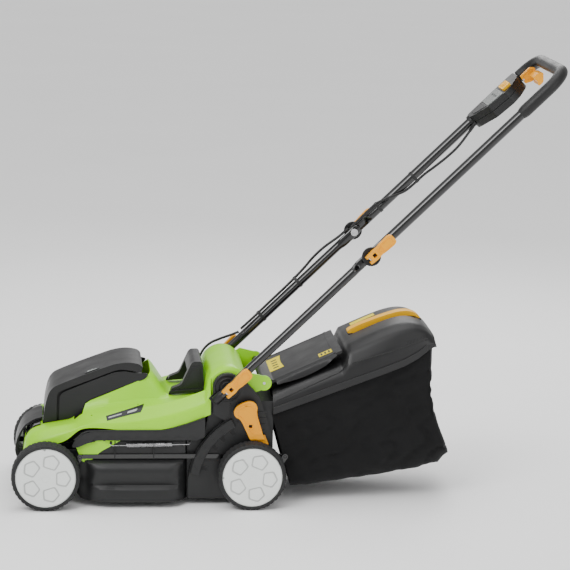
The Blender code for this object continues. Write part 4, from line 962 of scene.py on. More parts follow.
def numeral(digit, turn, step):
    """A raised number on the height scale, drawn as bars on a 3 by 5 grid."""
    out = Vector((math.cos(turn), math.sin(turn)))
    across = Vector((out.y, -out.x))
    middle = Vector(BRACKET) + out * 0.1575
    size = 0.0016
    cells = []
    for row, line in enumerate(DIGITS[digit]):
        for column, mark in enumerate(line):
            if mark == "#":
                centre = middle + across * ((column - 1) * size) + out * ((2 - row) * size)
                half = size * 0.52
                corners = [centre + across * (half * a) + out * (half * b) for a,
                           b in ((-1, -1), (1, -1), (1, 1), (-1, 1))]
                cells.append(plate([(c.x, c.y) for c in corners], -0.1496, -0.1488))
    piece(f"look_number_{step}", joined(*cells), GREY, "chassis")


def cam_levers():
    """Cam levers at both joints of both tubes, with the collars and discs they clamp on."""
    collar = [(0.0045, -0.1635), (0.0045, -0.1686), (0.0088, -0.1686), (0.0096, -0.168), (0.0096, -0.164),
              (0.009, -0.1635)]
    disc = [(0.0046, -0.1637), (0.02, -0.1637), (0.021, -0.1645), (0.021, -0.168), (0.0203, -0.169),
            (0.017, -0.169), (0.0165, -0.1682), (0.0125, -0.1682), (0.012, -0.1692), (0.0046, -0.1692)]
    for side, sign in SIDES.items():
        cam_lever(f"lower_lever_{side}", 0.0, sign)
        mesh = turned(collar, handle_xz(0.0, 0), steps=48)
        piece(f"look_collar_{side}", flipped(mesh, sign), TRIM, "lower_handle")
        cam_lever(f"upper_lever_{side}", MID_DISTANCE, sign)
        mesh = turned(disc, handle_xz(MID_DISTANCE, 0), steps=64)
        piece(f"look_disc_{side}", flipped(mesh, sign), TRIM, "upper_handle",
              (f"washer_{side}",), angle=25)


def cam_lever(node, distance, sign):
    """One lever: rounded head around its pin, slot window, thumb pad with a raised rim and an open back."""
    reach = 0.064
    back = 0.005

    def drawn(points, low, high, holes=()):
        """A plate from points along the lever and across it."""
        loops = [[handle_xz(distance + a, b) for a, b in loop] for loop in (points, *holes)]
        return plate(loops[0], low, high, loops[1:])

    shape = [(-back, -0.0105), (0.01, -0.0115), (0.016, -0.0102), (0.023, -0.0098), (0.03, -0.0112),
             (reach - 0.008, -0.0125), (reach, -0.009), (reach, 0.009), (reach - 0.008, 0.0125),
             (0.03, 0.0112), (0.023, 0.0098), (0.016, 0.0102), (0.01, 0.0115), (-back, 0.0105)]
    radii = [0.0005, 0.003, 0.004, 0.004, 0.004, 0.005, 0.005, 0.005, 0.005, 0.004, 0.004, 0.004, 0.003,
             0.0005]
    body = drawn(rounded(shape, radii, 5), -0.183, -0.17)
    pin = handle_point(distance - back, 0, -0.1765)
    head = cylinder(pin - ABOVE * 0.0104, pin + ABOVE * 0.0104, 0.0064, 48)
    body = carved(body, [head], "UNION")
    slope = [(0.012, -0.008), (reach - 0.005, -0.0085), (reach - 0.005, 0.0085), (0.012, 0.008)]
    window = [(0.0035, -0.0045), (0.012, -0.0045), (0.012, 0.0045), (0.0035, 0.0045)]
    fork = [(-0.013, -0.0042), (-0.004, -0.0042), (-0.004, 0.0042), (-0.013, 0.0042)]
    cuts = [drawn(slope, -0.18, -0.165), drawn(rounded(window, 0.001, 3), -0.186, -0.168),
            drawn(fork, -0.186, -0.168)]
    body = carved(body, cuts)
    piece(f"look_{node}", flipped(body, sign), LEVER, node, (node,), bevel=0.0013,
          segments=4)
    pad = [(0.029, -0.008), (reach - 0.01, -0.0092), (reach - 0.005, -0.006), (reach - 0.005, 0.006),
           (reach - 0.01, 0.0092), (0.029, 0.008)]
    inner = [(0.0305, -0.0068), (reach - 0.0108, -0.008), (reach - 0.0064, -0.0052),
             (reach - 0.0064, 0.0052), (reach - 0.0108, 0.008), (0.0305, 0.0068)]
    rim = drawn(pad, -0.184, -0.1825, [inner])
    piece(f"look_{node}_rim", flipped(rim, sign), LEVER, node, bevel=0.0005)
    for number, a in enumerate((0.018, 0.0215, 0.025)):
        rib = [(a, -0.007), (a + 0.0013, -0.007), (a + 0.0013, 0.007), (a, 0.007)]
        mesh = drawn(rib, -0.1838, -0.1825)
        piece(f"look_{node}_rib_{number}", flipped(mesh, sign), LEVER, node, bevel=0.0004)
    mesh = cylinder(pin - ABOVE * 0.01, pin + ABOVE * 0.01, 0.0024, 20)
    piece(f"look_{node}_pin", flipped(mesh, sign), STEEL, node)


def height_lever():
    """Yellow height lever: rounded head leaning forward, square hole, raised edge and a stepped foot."""
    head = [(0.446, 0.153), (0.48, 0.153), (0.476, 0.16), (0.47, 0.18), (0.462, 0.205), (0.4605, 0.216),
            (0.462, 0.226), (0.456, 0.236), (0.444, 0.2395), (0.428, 0.235), (0.414, 0.226), (0.409, 0.212),
            (0.415, 0.202), (0.423, 0.199), (0.429, 0.19)]
    radii = [0.002, 0.002, 0.004, 0.01, 0.006, 0.005, 0.006, 0.006, 0.008, 0.008, 0.008, 0.008, 0.006, 0.006,
             0.006]
    hole = [(0.443, 0.1785), (0.451, 0.1785), (0.451, 0.1865), (0.443, 0.1865)]
    mesh = plate(rounded(head, radii, 5), -0.16, -0.152, [rounded(hole, 0.001, 3)])
    strap = [(0.4655, 0.0985), (0.4815, 0.1025), (0.488, 0.141), (0.48, 0.16), (0.446, 0.16), (0.453, 0.13)]
    foot = carved(plate(strap, -0.1505, -0.1465), [block((0.45, -0.158, 0.1525), (0.47, -0.1475, 0.159))],
                  "UNION")
    mesh = carved(mesh, [foot], "UNION")
    piece("look_height_lever", mesh, LEVER, "rear_crank", ("height_lever",), bevel=0.0016,
          segments=4)
    ridge = [(0.453, 0.164), (0.474, 0.164), (0.468, 0.18), (0.459, 0.208), (0.4575, 0.225), (0.443, 0.234),
             (0.429, 0.23), (0.418, 0.223), (0.414, 0.212), (0.419, 0.206), (0.427, 0.203), (0.435, 0.19)]
    inner = shrunk(ridge, (0.446, 0.198), 0.88)
    mesh = plate(rounded(ridge, 0.005, 4), -0.161, -0.1595, [rounded(inner, 0.005, 4)])
    piece("look_height_lever_edge", mesh, LEVER, "rear_crank", bevel=0.0005)
    ring = plate([(0.4405, 0.176), (0.4535, 0.176), (0.4535, 0.189), (0.4405, 0.189)], -0.1612, -0.1595,
                 [hole])
    piece("look_height_lever_window", ring, LEVER, "rear_crank", bevel=0.0004)
    # A black floor inside the square hole: painted shade in the hole.
    piece("look_height_lever_hollow", block((0.4425, -0.1535, 0.178), (0.4515, -0.1525, 0.187)), BAY_BLACK_AND_SLOT_SHADE,
          "rear_crank")


def spring_coil():
    """Balance spring: close coils with a hook at each end on the deck's small posts."""
    y = -0.1475
    start, end, radius = 0.176, 0.276, 0.0046
    coils = 42
    points = []
    for i in range(coils * 12 + 1):
        t = i / (coils * 12)
        a = 2 * math.pi * coils * t
        points.append((start + (end - start) * t, y + radius * math.cos(a), 0.1368 + 0.0017 * t + radius
                       * math.sin(a)))
    piece("look_balance_spring", tube(points, 0.00075, sides=1), STEEL, "chassis",
          ("balance_spring",))
    hooks = (("front", [(0.176, y, 0.1368), (0.16, y, 0.1368), (0.146, y, 0.1366), (0.1415, y, 0.1385),
                        (0.14, y, 0.141), (0.142, y, 0.1425)]),
             ("rear", [(0.276, y, 0.1385), (0.296, y, 0.1388), (0.311, y, 0.1393), (0.315, y, 0.1408),
                       (0.316, y, 0.143)]))
    for name, route in hooks:
        piece(f"look_spring_hook_{name}", tube(smooth(route, 5), 0.0009, sides=3), STEEL, "chassis")
        x, _, z = route[-1]
        post = cylinder((x, -0.149, z), (x, -0.139, z), 0.003, 20)
        piece(f"look_spring_post_{name}", post, TRIM, "chassis", bevel=0.0006)


# ---------------------------------------------------------------- handle
def bar_of(path, radius, sides=28):
    """Capped bar along a path that stays in the handle's plane."""
    return grid(swept(path, radius, sides), wrap_cols=True, caps=True)


def swept(path, radius, sides=28):
    """Rings around a path that stays in the handle's plane; radius may be a list."""
    rings = []
    for i, point in enumerate(path):
        before = path[max(i - 1, 0)]
        after = path[min(i + 1, len(path) - 1)]
        tangent = (after - before).normalized()
        across = tangent.cross(ABOVE)
        size = radius[i] if isinstance(radius, list) else radius
        ring = []
        for k in range(sides):
            a = 2 * math.pi * k / sides
            ring.append(point + ABOVE * (size * math.cos(a)) + across * (size * math.sin(a)))
        rings.append(ring)
    return rings


BAR_X = 1.1145
BAR = (BAR_X - LOW_X) / ALONG.x


def loop_route(reach_left, reach_right):
    """Upper handle's centre line from reach_left on the left tube round to reach_right on the right."""
    corner = 0.048
    count = 12
    left = [handle_point(BAR - corner + corner * math.sin(math.pi / 2 * i / count), 0,
                         -(TUBE_Y - corner + corner * math.cos(math.pi / 2 * i / count)))
            for i in range(count + 1)]
    right = opposite(reversed(left))
    start = [handle_point(reach_left + (BAR - corner - reach_left) * i / 6, 0, -TUBE_Y) for i in range(6)]
    end = [handle_point(reach_right + (BAR - corner - reach_right) * i / 6, 0, TUBE_Y)
           for i in range(5, -1, -1)]
    return start + left + right + end


def handle_tubes():
    """Gloss tubes with flattened laps, plastic tail caps and the grip."""
    for side, sign in SIDES.items():
        rings = []
        for distance, wide, thin, shift in (
                (-0.038, 0.01, 0.01, 0), (0.376, 0.01, 0.01, 0), (0.38, 0.0101, 0.0096, -0.0004),
                (0.384, 0.0104, 0.0082, -0.0018), (0.388, 0.0108, 0.0062, -0.0036),
                (0.392, 0.0111, 0.0047, -0.005), (0.396, 0.0112, 0.004, -0.0055),
                (0.433, 0.0112, 0.004, -0.0055), (0.439, 0.0095, 0.0039, -0.0055),
                (0.443, 0.0065, 0.0038, -0.0055), (0.4448, 0.002, 0.0036, -0.0055)):
            rings.append(pressed_ring(distance, wide, thin, shift))
        mesh = grid(rings, wrap_cols=True, caps=True)
        piece(f"look_lower_tube_{side}", flipped(mirrored(mesh), sign), TUBE, "lower_handle",
              (f"lower_tube_{side}",), angle=30)
        cap = bar_of([handle_point(d, 0, -TUBE_Y) for d in (-0.0392, -0.0388, -0.0375, -0.02, -0.0196)],
                     [0.0075, 0.0095, 0.0104, 0.0106, 0.0098])
        piece(f"look_tail_cap_{side}", flipped(cap, sign), TRIM, "lower_handle")
    laps = [(-0.0168, 0.002, 0.0036, 0.0055), (-0.015, 0.0065, 0.0038, 0.0055),
            (-0.011, 0.0098, 0.0039, 0.0055), (-0.005, 0.0118, 0.004, 0.0055),
            (0.032, 0.0122, 0.004, 0.0055), (0.036, 0.0121, 0.0048, 0.005), (0.04, 0.0118, 0.0066, 0.0036),
            (0.044, 0.0113, 0.0088, 0.0018), (0.048, 0.0111, 0.0106, 0.0004), (0.052, 0.011, 0.011, 0)]
    left = [pressed_ring(MID_DISTANCE + d, w, t, s) for d, w, t, s in laps]
    left = [opposite(ring) for ring in left]
    middle = swept(loop_route(MID_DISTANCE + 0.08, MID_DISTANCE + 0.08), 0.011)
    right = [opposite(ring) for ring in reversed(left)]
    mesh = grid(lined_up(left + middle + right), wrap_cols=True, caps=True)
    piece("look_upper_tube", mesh, TUBE, "upper_handle", ("upper_tube",), angle=30)
    path = loop_route(BAR - 0.13, BAR - 0.06)
    sizes = [0.014] * len(path)
    for end, near in ((0, 1), (-1, -2)):
        first, second = path[end], path[near]
        for share, size in ((0.75, 0.0138), (0.4, 0.0128)):
            at = 1 if end == 0 else len(path) - 1
            path.insert(at, first.lerp(second, share))
            sizes.insert(at, size)
    sizes[0] = sizes[-1] = 0.0114
    mesh = bar_of(path, sizes)
    piece("look_grip", mesh, GRIP, "upper_handle", ("handle_grip",), angle=50)


def pressed_ring(distance, wide, thin, shift):
    """Oval section of the right tube: wide across the handle's plane, thin along Y."""
    ring = []
    sides = 28
    for k in range(sides):
        a = 2 * math.pi * k / sides
        ring.append(handle_point(distance, wide * math.cos(a), TUBE_Y + shift + thin * math.sin(a)))
    return ring


def lined_up(rings):
    """Rings turned or reversed so that each starts nearest to the one before it."""
    out = [rings[0]]
    for ring in rings[1:]:
        options = []
        for order in (ring, list(reversed(ring))):
            for shift in range(len(ring)):
                turned_ring = order[shift:] + order[:shift]
                options.append((sum((a - b).length for a, b in zip(turned_ring, out[-1])), shift,
                                turned_ring))
        out.append(min(options, key=lambda option: (option[0], option[1]))[2])
    return out


def tilted(outline, low, high):
    """A plate drawn in the handle's plane, (along, Y) points, from low to high above the tubes' centre."""
    mesh = plate([(x, -y) for x, y in outline], -high, -low)
    mesh.transform(Matrix(((ALONG.x, -ABOVE.x, 0, LOW_PIVOT.x), (0, 0, -1, 0),
                           (ALONG.z, -ABOVE.z, 0, LOW_PIVOT.z), (0, 0, 0, 1))))
    return mesh


BOX_PLAN = [(0.8, 0.136), (0.806, 0.126), (0.845, 0.08), (0.893, 0.067), (0.914, 0.076), (0.936, 0.1),
            (0.942, 0.118), (0.942, 0.166), (0.936, 0.1715), (0.806, 0.1715), (0.8, 0.166)]


def switch_box():
    """Switch box on the right tube: shell, light panel, button in its pocket, lever and cable boot."""
    radii = [0.003, 0.003, 0.006, 0.006, 0.006, 0.006, 0.003, 0.004, 0.004, 0.004, 0.004]
    bore = cylinder(handle_point(0.76, 0, TUBE_Y), handle_point(0.98, 0, TUBE_Y), 0.0113, 40)
    pocket = tilted([(0.8935, 0.084), (0.9175, 0.084), (0.9175, 0.141), (0.8935, 0.141)], 0.003, 0.03)
    seam = tilted([(0.79, 0.06), (0.95, 0.06), (0.95, 0.18), (0.79, 0.18)], -0.0026, -0.0016)
    ring = carved(seam, [tilted(shrunk(BOX_PLAN, (0.872, 0.128), 0.975), -0.005, 0.001)])
    body = carved(tilted(rounded(BOX_PLAN, radii, 4), -0.0195, 0.0135), [bore, pocket, ring])
    piece("look_switch_box", body, TRIM, "upper_handle", ("switch_box",), bevel=0.0014)
    panel = [(0.846, 0.0845), (0.8895, 0.0735), (0.8895, 0.16), (0.846, 0.16)]
    piece("look_switch_panel", tilted(rounded(panel, 0.001, 3), 0.0133, 0.0152), PANEL, "upper_handle",
          ("switch_panel",), bevel=0.0005)
    slope = [(0.812, 0.129), (0.843, 0.093), (0.843, 0.16), (0.812, 0.16)]
    piece("look_switch_slope", tilted(rounded(slope, 0.001, 3), 0.0133, 0.0146), GREY, "upper_handle",
          bevel=0.0005)
    for number in range(3):
        low = 0.096 + 0.018 * number
        lamp = [(0.872, low), (0.876, low), (0.876, low + 0.011), (0.872, low + 0.011)]
        piece(f"look_switch_lamp_{number}", tilted(lamp, 0.015, 0.0156), PRINT, "upper_handle")
    collar = [handle_point(d, 0, TUBE_Y) for d in (0.793, 0.7934, 0.799, 0.801)]
    piece("look_switch_collar", bar_of(collar, [0.0128, 0.014, 0.015, 0.015]), TRIM, "upper_handle")
    boot = [handle_point(d, a, y) for d, a, y in ((0.779, -0.0112, 0.137), (0.783, -0.0103, 0.1371),
                                                  (0.7833, -0.0102, 0.1371), (0.787, -0.0092, 0.1372),
                                                  (0.7873, -0.0091, 0.1372), (0.791, -0.0082, 0.1373),
                                                  (0.7913, -0.0081, 0.1373), (0.801, -0.0058, 0.1375))]
    mesh = bar_of(boot, [0.0034, 0.0042, 0.0036, 0.0045, 0.0038, 0.0048, 0.0041, 0.0052], 20)
    piece("look_cable_boot", mesh, CABLE, "upper_handle")
    for number, (a, y) in enumerate(((0.815, 0.15), (0.86, 0.11), (0.925, 0.15))):
        start, end = handle_point(a, -0.02, y), handle_point(a, -0.018, y)
        piece(f"look_switch_screw_{number}", cylinder(start, end, 0.003, 20), STEEL, "upper_handle")
    button = [(0.8945, 0.085), (0.9165, 0.085), (0.9165, 0.14), (0.8945, 0.14)]
    piece("look_safety_button", tilted(rounded(button, 0.004, 4), 0.0075, 0.019), BUTTON, "safety_button",
          ("safety_button",), bevel=0.0022, segments=4)
    for number in range(4):
        low = 0.098 + 0.0085 * number
        rib = [(0.8985, low), (0.9125, low), (0.9125, low + 0.0018), (0.8985, low + 0.0018)]
        piece(f"look_button_rib_{number}", tilted(rib, 0.0185, 0.0196), BUTTON, "safety_button",
              bevel=0.0004)
    start_lever()


def start_lever():
    """Start lever: side plate with a lightening recess and a curved finger bar, on its pin."""
    def shape(points, radius):
        """Points along and above the tubes as XZ, with rounded corners."""
        return [handle_xz(a, b) for a, b in rounded(points, radius, 5)]

    arm = [(0.9455, 0.0065), (0.975, 0.007), (0.9835, -0.001), (0.9765, -0.015), (0.96, -0.0215),
           (0.944, -0.014), (0.944, 0.0)]
    mesh = plate(shape(arm, [0.001, 0.004, 0.003, 0.004, 0.004, 0.002, 0.001]), 0.112, 0.12)
    bar = [(0.96, -0.005), (0.976, -0.0045), (0.9865, -0.012), (0.972, -0.0285), (0.958, -0.028),
           (0.964, -0.017)]
    mesh = carved(mesh, [plate(shape(bar, 0.004), 0.06, 0.113)], "UNION")
    dent = [(0.95, 0.003), (0.9725, 0.0035), (0.978, -0.0015), (0.973, -0.011), (0.961, -0.016),
            (0.949, -0.0105)]
    mesh = carved(mesh, [plate(shape(dent, 0.003), 0.11, 0.1136)])
    piece("look_start_lever", mesh, LEVER, "start_lever", ("start_lever",), bevel=0.0013,
          segments=4)
    start, end = handle_point(0.946, -0.004, 0.111), handle_point(0.946, -0.004, 0.121)
    piece("look_start_pin", cylinder(start, end, 0.0022, 20), STEEL, "start_lever")


def grips_and_nose():
    """Carrying handle with a sloped web and chamfers, and the glossy bumper bar across the nose."""
    side = [(0.2745, 0.237), (0.277, 0.246), (0.299, 0.255), (0.32, 0.302), (0.326, 0.307), (0.342, 0.307),
            (0.346, 0.301), (0.3495, 0.25), (0.349, 0.244)]
    mesh = plate(rounded(side, [0.002, 0.003, 0.006, 0.005, 0.005, 0.005, 0.004, 0.003, 0.002], 5), -0.068,
                 0.068)
    mesh = carved(mesh, [block((0.26, -0.048, 0.225), (0.36, 0.048, 0.284))])
    piece("look_carry_handle", mesh, TRIM, "chassis", ("carry_handle",), bevel=0.0032,
          segments=4)
    for side_name, sign in SIDES.items():
        web = [(0.283, 0.24), (0.306, 0.256), (0.324, 0.296), (0.34, 0.296), (0.343, 0.244)]
        inner = shrunk(web, (0.32, 0.264), 0.84)
        mesh = plate(rounded(web, 0.004, 4), -0.0692, -0.0675, [rounded(inner, 0.004, 4)])
        piece(f"look_carry_edge_{side_name}", flipped(mesh, sign), TRIM, "chassis",
              bevel=0.0005)
        foot = plate(rounded([(0.27, 0.233), (0.273, 0.241), (0.346, 0.247), (0.35, 0.24)], 0.002, 3),
                     -0.072, -0.064)
        piece(f"look_carry_foot_{side_name}", flipped(foot, sign), TRIM, "chassis",
              bevel=0.001)
    outer = [(-0.052, 0.076), (-0.062, 0.082), (-0.068, 0.1), (-0.0665, 0.116), (-0.06, 0.137),
             (-0.049, 0.156), (-0.038, 0.1655), (-0.024, 0.1735), (-0.008, 0.178)]
    inner = [(-0.008, 0.1735), (-0.0225, 0.169), (-0.0355, 0.1625), (-0.0465, 0.153), (-0.056, 0.135),
             (-0.0605, 0.114), (-0.061, 0.101), (-0.057, 0.09), (-0.052, 0.086)]
    piece("look_front_handle", plate(smooth(outer, 4) + smooth(inner, 4), -0.054, 0.054), TRIM, "chassis",
          ("front_handle",), bevel=0.003, segments=5, angle=50)
    for side_name, sign in SIDES.items():
        mesh = block((-0.064, -0.0505, 0.096), (-0.05, -0.042, 0.108))
        piece(f"look_front_stay_{side_name}", flipped(mesh, sign), TRIM, "chassis",
              bevel=0.0015)
        # A glossy black strip tucked behind the bumper bar's inner edge: painted shadow in the gap under the
        # bar.
        shade = [(-0.045, 0.1), (-0.047, 0.13), (-0.042, 0.152), (-0.025, 0.168), (-0.012, 0.172),
                 (-0.012, 0.169), (-0.024, 0.165), (-0.0395, 0.15), (-0.044, 0.129), (-0.042, 0.1)]
        mesh = plate(shade, -0.088, -0.001)
        piece(f"look_nose_shadow_strip_{side_name}", flipped(mesh, sign), TUBE, "chassis",
              bevel=0.0006)
    # The vent slots are black blocks, not cuts: painted shade in the slots.
    slots = [(-0.049, 0.0985 + 0.0115 * k) for k in range(4)]
    for number, (x, z) in enumerate(slots):
        mesh = block((x - 0.0012, -0.062, z), (x + 0.003, 0.062, z + 0.0045))
        piece(f"look_nose_vent_{number}", mesh, BAY_BLACK_AND_SLOT_SHADE, "chassis", bevel=0.0008)


# ---------------------------------------------------------------- bag's lid and the rear flap
LID_ROWS = [(0.498, 0.203, 0.255, 0.108), (0.51, 0.207, 0.261, 0.108), (0.55, 0.222, 0.278, 0.107),
            (0.6, 0.2405, 0.3, 0.105), (0.64, 0.256, 0.317, 0.103), (0.65, 0.2595, 0.322, 0.101),
            (0.656, 0.262, 0.333, 0.099), (0.664, 0.265, 0.355, 0.096), (0.7, 0.2785, 0.372, 0.094),
            (0.75, 0.2968, 0.395, 0.092), (0.79, 0.3114, 0.407, 0.09), (0.82, 0.327, 0.404, 0.088),
            (0.84, 0.342, 0.392, 0.085), (0.852, 0.349, 0.379, 0.083)]


def lid_half(x):
    """Half width of the bag's lid."""
    return 0.135 - 0.02 * max(0, (x - 0.7) / 0.145) ** 2


def lid_skin():
    """Open surface of the bag's lid: low front part, raised rear part, shoulders and rim."""
    rows = []
    for x, rim, top, crown in LID_ROWS:
        half = lid_half(x)
        rise = top - rim
        rows.append(section(x, [(crown * 0.5, top), (crown, top - rise * 0.04),
                                (crown + (half - crown) * 0.55, top - rise * 0.18),
                                (half - 0.0035, top - rise * 0.52), (half, rim + 0.012), (half, rim)]))
    rows.append(section(0.858, [(0.04, 0.374), (0.078, 0.373), (0.092, 0.371), (0.105, 0.366),
                                (0.111, 0.359), (0.112, 0.351)]))
    rows.append(section(0.8615, [(0.04, 0.357), (0.078, 0.3565), (0.092, 0.356), (0.105, 0.3545),
                                 (0.11, 0.353), (0.1115, 0.351)]))
    return creased(rows, (1.0, 0.9, 0.55, 0.45, 0.6), {0: 1.0, 5: 0.5, 7: 0.8, 14: 0.6, 15: 1.0})


def bag_lid():
    """Hard lid of the bag: shell with recessed handle pan, side band, vents, seam lines and plain labels."""
    mesh = thick(lid_skin(), 0.003, levels=2)
    pan = [(0.6719, 0.3542), (0.8075, 0.3542), (0.827, 0.3925), (0.827, 0.397), (0.82, 0.401), (0.79, 0.404),
           (0.75, 0.3925), (0.7, 0.3695), (0.6719, 0.356)]
    well = rounded([(0.6742, 0.3572), (0.8055, 0.3572), (0.825, 0.3945), (0.825, 0.43), (0.6742, 0.43)],
                   [0.004, 0.012, 0.004, 0.001, 0.001], 6)
    mesh = carved(mesh, [plate(pan, -0.033, 0.033)], "UNION")
    mesh = carved(mesh, [plate(well, -0.03, 0.03)])
    piece("look_bag_lid", mesh, GREY, "grass_bag", ("bag_lid",), angle=38)
    for side, sign in SIDES.items():
        lid_side(side, sign)
    lid_patch("look_lid_strip", 0.688, 0.742, 0.046, 0.072, LABEL)
    bag_handle()


def lid_patch(name, x0, x1, y0, y1, look):
    """A thin plain label laid on the lid's top."""
    base = surface_of(lid_skin())
    surface = base.evaluated_get(bpy.context.evaluated_depsgraph_get())
    rows = []
    for i in range(9):
        row = []
        for j in range(5):
            x = x0 + (x1 - x0) * i / 8
            y = y0 + (y1 - y0) * j / 4
            _, spot, normal, _ = surface.ray_cast(Vector((x, y, 0.5)), Vector((0, 0, -1)))
            row.append(spot + normal * 0.0006)
        rows.append(row)
    bpy.data.objects.remove(base)
    piece(name, thick(grid(rows), 0.0004), look, "grass_bag")


def lid_side(side, sign):
    """Band along the lid's rim, a step line above it and a row of vent slots."""
    rim = [(x, z + 0.0005) for x, z, _, _ in LID_ROWS if x < 0.846]
    upper = [(x, z + 0.0165) for x, z in rim]
    rows = []
    for (x, z), (_, z_top) in zip(rim, upper):
        half = lid_half(x)
        rows.append([(x, -(half + 0.0002), z - 0.001), (x, -(half + 0.0024), z),
                     (x, -(half + 0.0026), z_top - 0.001), (x, -(half + 0.0002), z_top)])
    mesh = grid([[Vector(p) for p in row] for row in rows], wrap_cols=True, caps=True)
    piece(f"look_lid_band_{side}", flipped(mesh, sign), GREY, "grass_bag", bevel=0.0008)
    base = surface_of(lid_skin())
    surface = base.evaluated_get(bpy.context.evaluated_depsgraph_get())

    def on_side(x, z, lift=0.0):
        """The lid's outer surface at a height, seen from the left."""
        found, spot, normal, _ = surface.ray_cast(Vector((x, -0.25, z)), Vector((0, 1, 0)))
        return spot + normal * lift if found else Vector((x, -lid_half(x), z))

    # The vent slots are dark strips laid on the surface: painted shade in the slots.
    for number in range(7):
        x = 0.79 + 0.0075 * number
        z = 0.353 + 0.002 * number
        rows = [[on_side(x, z, 0.0005), on_side(x + 0.0028, z, 0.0005)],
                [on_side(x + 0.004, z + 0.013, 0.0005), on_side(x + 0.0068, z + 0.013, 0.0005)]]
        piece(f"look_lid_vent_{side}_{number}", flipped(thick(grid(rows), 0.0004), sign), BAY_BLACK_AND_SLOT_SHADE, "grass_bag")
    line = [on_side(0.505 + 0.0155 * k, 0.232 + 0.0072 * k, 0.0001) for k in range(10)]
    line += [on_side(0.658, 0.312, 0.0001), on_side(0.664, 0.329, 0.0001), on_side(0.669, 0.344, 0.0001)]
    piece(f"look_lid_line_{side}", flipped(tube(smooth(line, 3), 0.0009, sides=2), sign), BAY_BLACK_AND_SLOT_SHADE, "grass_bag")
    ridge = [on_side(0.67 + 0.017 * k, 0.318 + 0.0052 * k, 0.0002) for k in range(11)]
    piece(f"look_lid_ridge_{side}", flipped(tube(smooth(ridge, 3), 0.0012, sides=2), sign), GREY,
          "grass_bag")
    bpy.data.objects.remove(base)


BAG_HANDLE_HALF = 0.0135


def bag_handle():
    """Yellow carrying bar over the pan in the lid."""
    upper = [(0.675, 0.36), (0.6756, 0.367), (0.7, 0.38), (0.738, 0.395), (0.779, 0.4088), (0.8, 0.4121),
             (0.8139, 0.4115), (0.828, 0.406), (0.8372, 0.3975), (0.8376, 0.3945)]
    lower = [(0.826, 0.4), (0.812, 0.4012), (0.8, 0.4005), (0.786, 0.3975), (0.7387, 0.3825), (0.7, 0.367),
             (0.685, 0.359)]
    mesh = plate(smooth(upper, 4) + smooth(lower, 4), -BAG_HANDLE_HALF, BAG_HANDLE_HALF)
    piece("look_bag_handle", mesh, BAG_YELLOW, "grass_bag", ("bag_handle",), bevel=0.003,
          segments=5, angle=50)
    for name, x, z in (("front", 0.681, 0.36), ("rear", 0.834, 0.395)):
        mesh = block((x - 0.006, -0.0165, z - 0.006), (x + 0.006, 0.0165, z + 0.001))
        piece(f"look_handle_seat_{name}", mesh, TRIM, "grass_bag", bevel=0.0025)


FLAP_START = Vector((0.5, 0, 0.2755))
FLAP_RUN = Vector((0.15, 0, 0.0668)).normalized()
FLAP_UP = Vector((-FLAP_RUN.z, 0, FLAP_RUN.x))


def flap_spot(along, y, up=0.0):
    """A point on the rear flap, along its slope from its front."""
    return FLAP_START + FLAP_RUN * along + FLAP_UP * up + Vector((0, y, 0))


def flap():
    """Rear flap: moulded panel with rounded shoulders, a raised tail and plain yellow labels."""
    upper = arc(*HINGE, 0.0085, 270, 90, 20) + [(0.5, 0.2755), (0.65, 0.3423)]
    lower = [(0.6515, 0.3373), (0.505, 0.2715), (0.49, 0.266)]
    mesh = plate(upper + lower, -0.11, 0.11, [circle(*HINGE, 0.0034)])
    mesh = carved(mesh, [block((0.46, -0.119, 0.258), (0.4935, -0.104, 0.285))])
    piece("look_rear_flap", mesh, GREY, "rear_flap", ("rear_flap",), bevel=0.0015)
    for side, sign in SIDES.items():
        rows = []
        for k in range(25):
            t = k / 24
            a = 0.004 + 0.146 * t
            drop = 0.0105 + 0.008 * math.sin(math.pi * min(t * 1.05, 1)) - 0.006 * max(0, (t - 0.8) / 0.2)
            lines = [(-0.106, 0.0006), (-0.111, 0.0), (-0.115, -0.0025), (-0.118, -0.007), (-0.1198, -drop),
                     (-0.1178, -drop + 0.0004), (-0.1158, -0.007), (-0.113, -0.004), (-0.109, -0.0022),
                     (-0.106, -0.002)]
            rows.append([flap_spot(a, y, up) for y, up in lines])
        mesh = outward(grid(rows, wrap_cols=True, caps=True))
        piece(f"look_flap_shoulder_{side}", flipped(mesh, sign), GREY, "rear_flap", angle=60)
    flap_pad("look_flap_tail", [(0.145, -0.108), (0.15, -0.108), (0.15, 0.108), (0.145, 0.108)], 0.0016,
             GREY)
    curve = [(0.033 - 0.0035 * math.sin(math.pi * k / 8), -0.035 + 0.11 * k / 8) for k in range(9)]
    edge = [(-0.002 - 0.002 * math.sin(math.pi * k / 8), 0.075 - 0.11 * k / 8) for k in range(9)]
    flap_pad("look_flap_label", curve + edge, 0.0005, LABEL)
    for number in range(4):
        low = -0.02 + 0.022 * number
        mark = [(0.009, low), (0.022, low), (0.022, low + 0.008), (0.009, low + 0.008)]
        flap_pad(f"look_flap_mark_{number}", mark, 0.0007, PRINT)
    strip = [(0.113, -0.086), (0.146, -0.086), (0.146, -0.057), (0.113, -0.057)]
    flap_pad("look_flap_strip", strip, 0.0005, LABEL)
    for number in range(3):
        low = 0.118 + 0.009 * number
        mark = [(low, -0.08), (low + 0.004, -0.08), (low + 0.004, -0.063), (low, -0.063)]
        flap_pad(f"look_strip_mark_{number}", mark, 0.0007, PRINT)


def flap_pad(name, outline, high, look):
    """A thin piece lying on the flap; outline is (along, y) points."""
    top = [flap_spot(a, y, high) for a, y in outline]
    base = [flap_spot(a, y, -0.0006) for a, y in outline]
    piece(name, outward(grid([base, top], wrap_cols=True, caps=True)), look, "rear_flap")


# ---------------------------------------------------------------- bag cloth
CLOTH_ROWS = [(0.496, 0.544, 0.204, 0.029, 1.0), (0.64, 0.648, 0.26, 0.037, 1.0),
              (0.74, 0.742, 0.299, 0.05, 1.0), (0.81, 0.826, 0.327, 0.061, 1.8),
              (0.842, 0.88, 0.348, 0.074, 2.3), (0.849, 0.899, 0.35, 0.095, 2.5)]


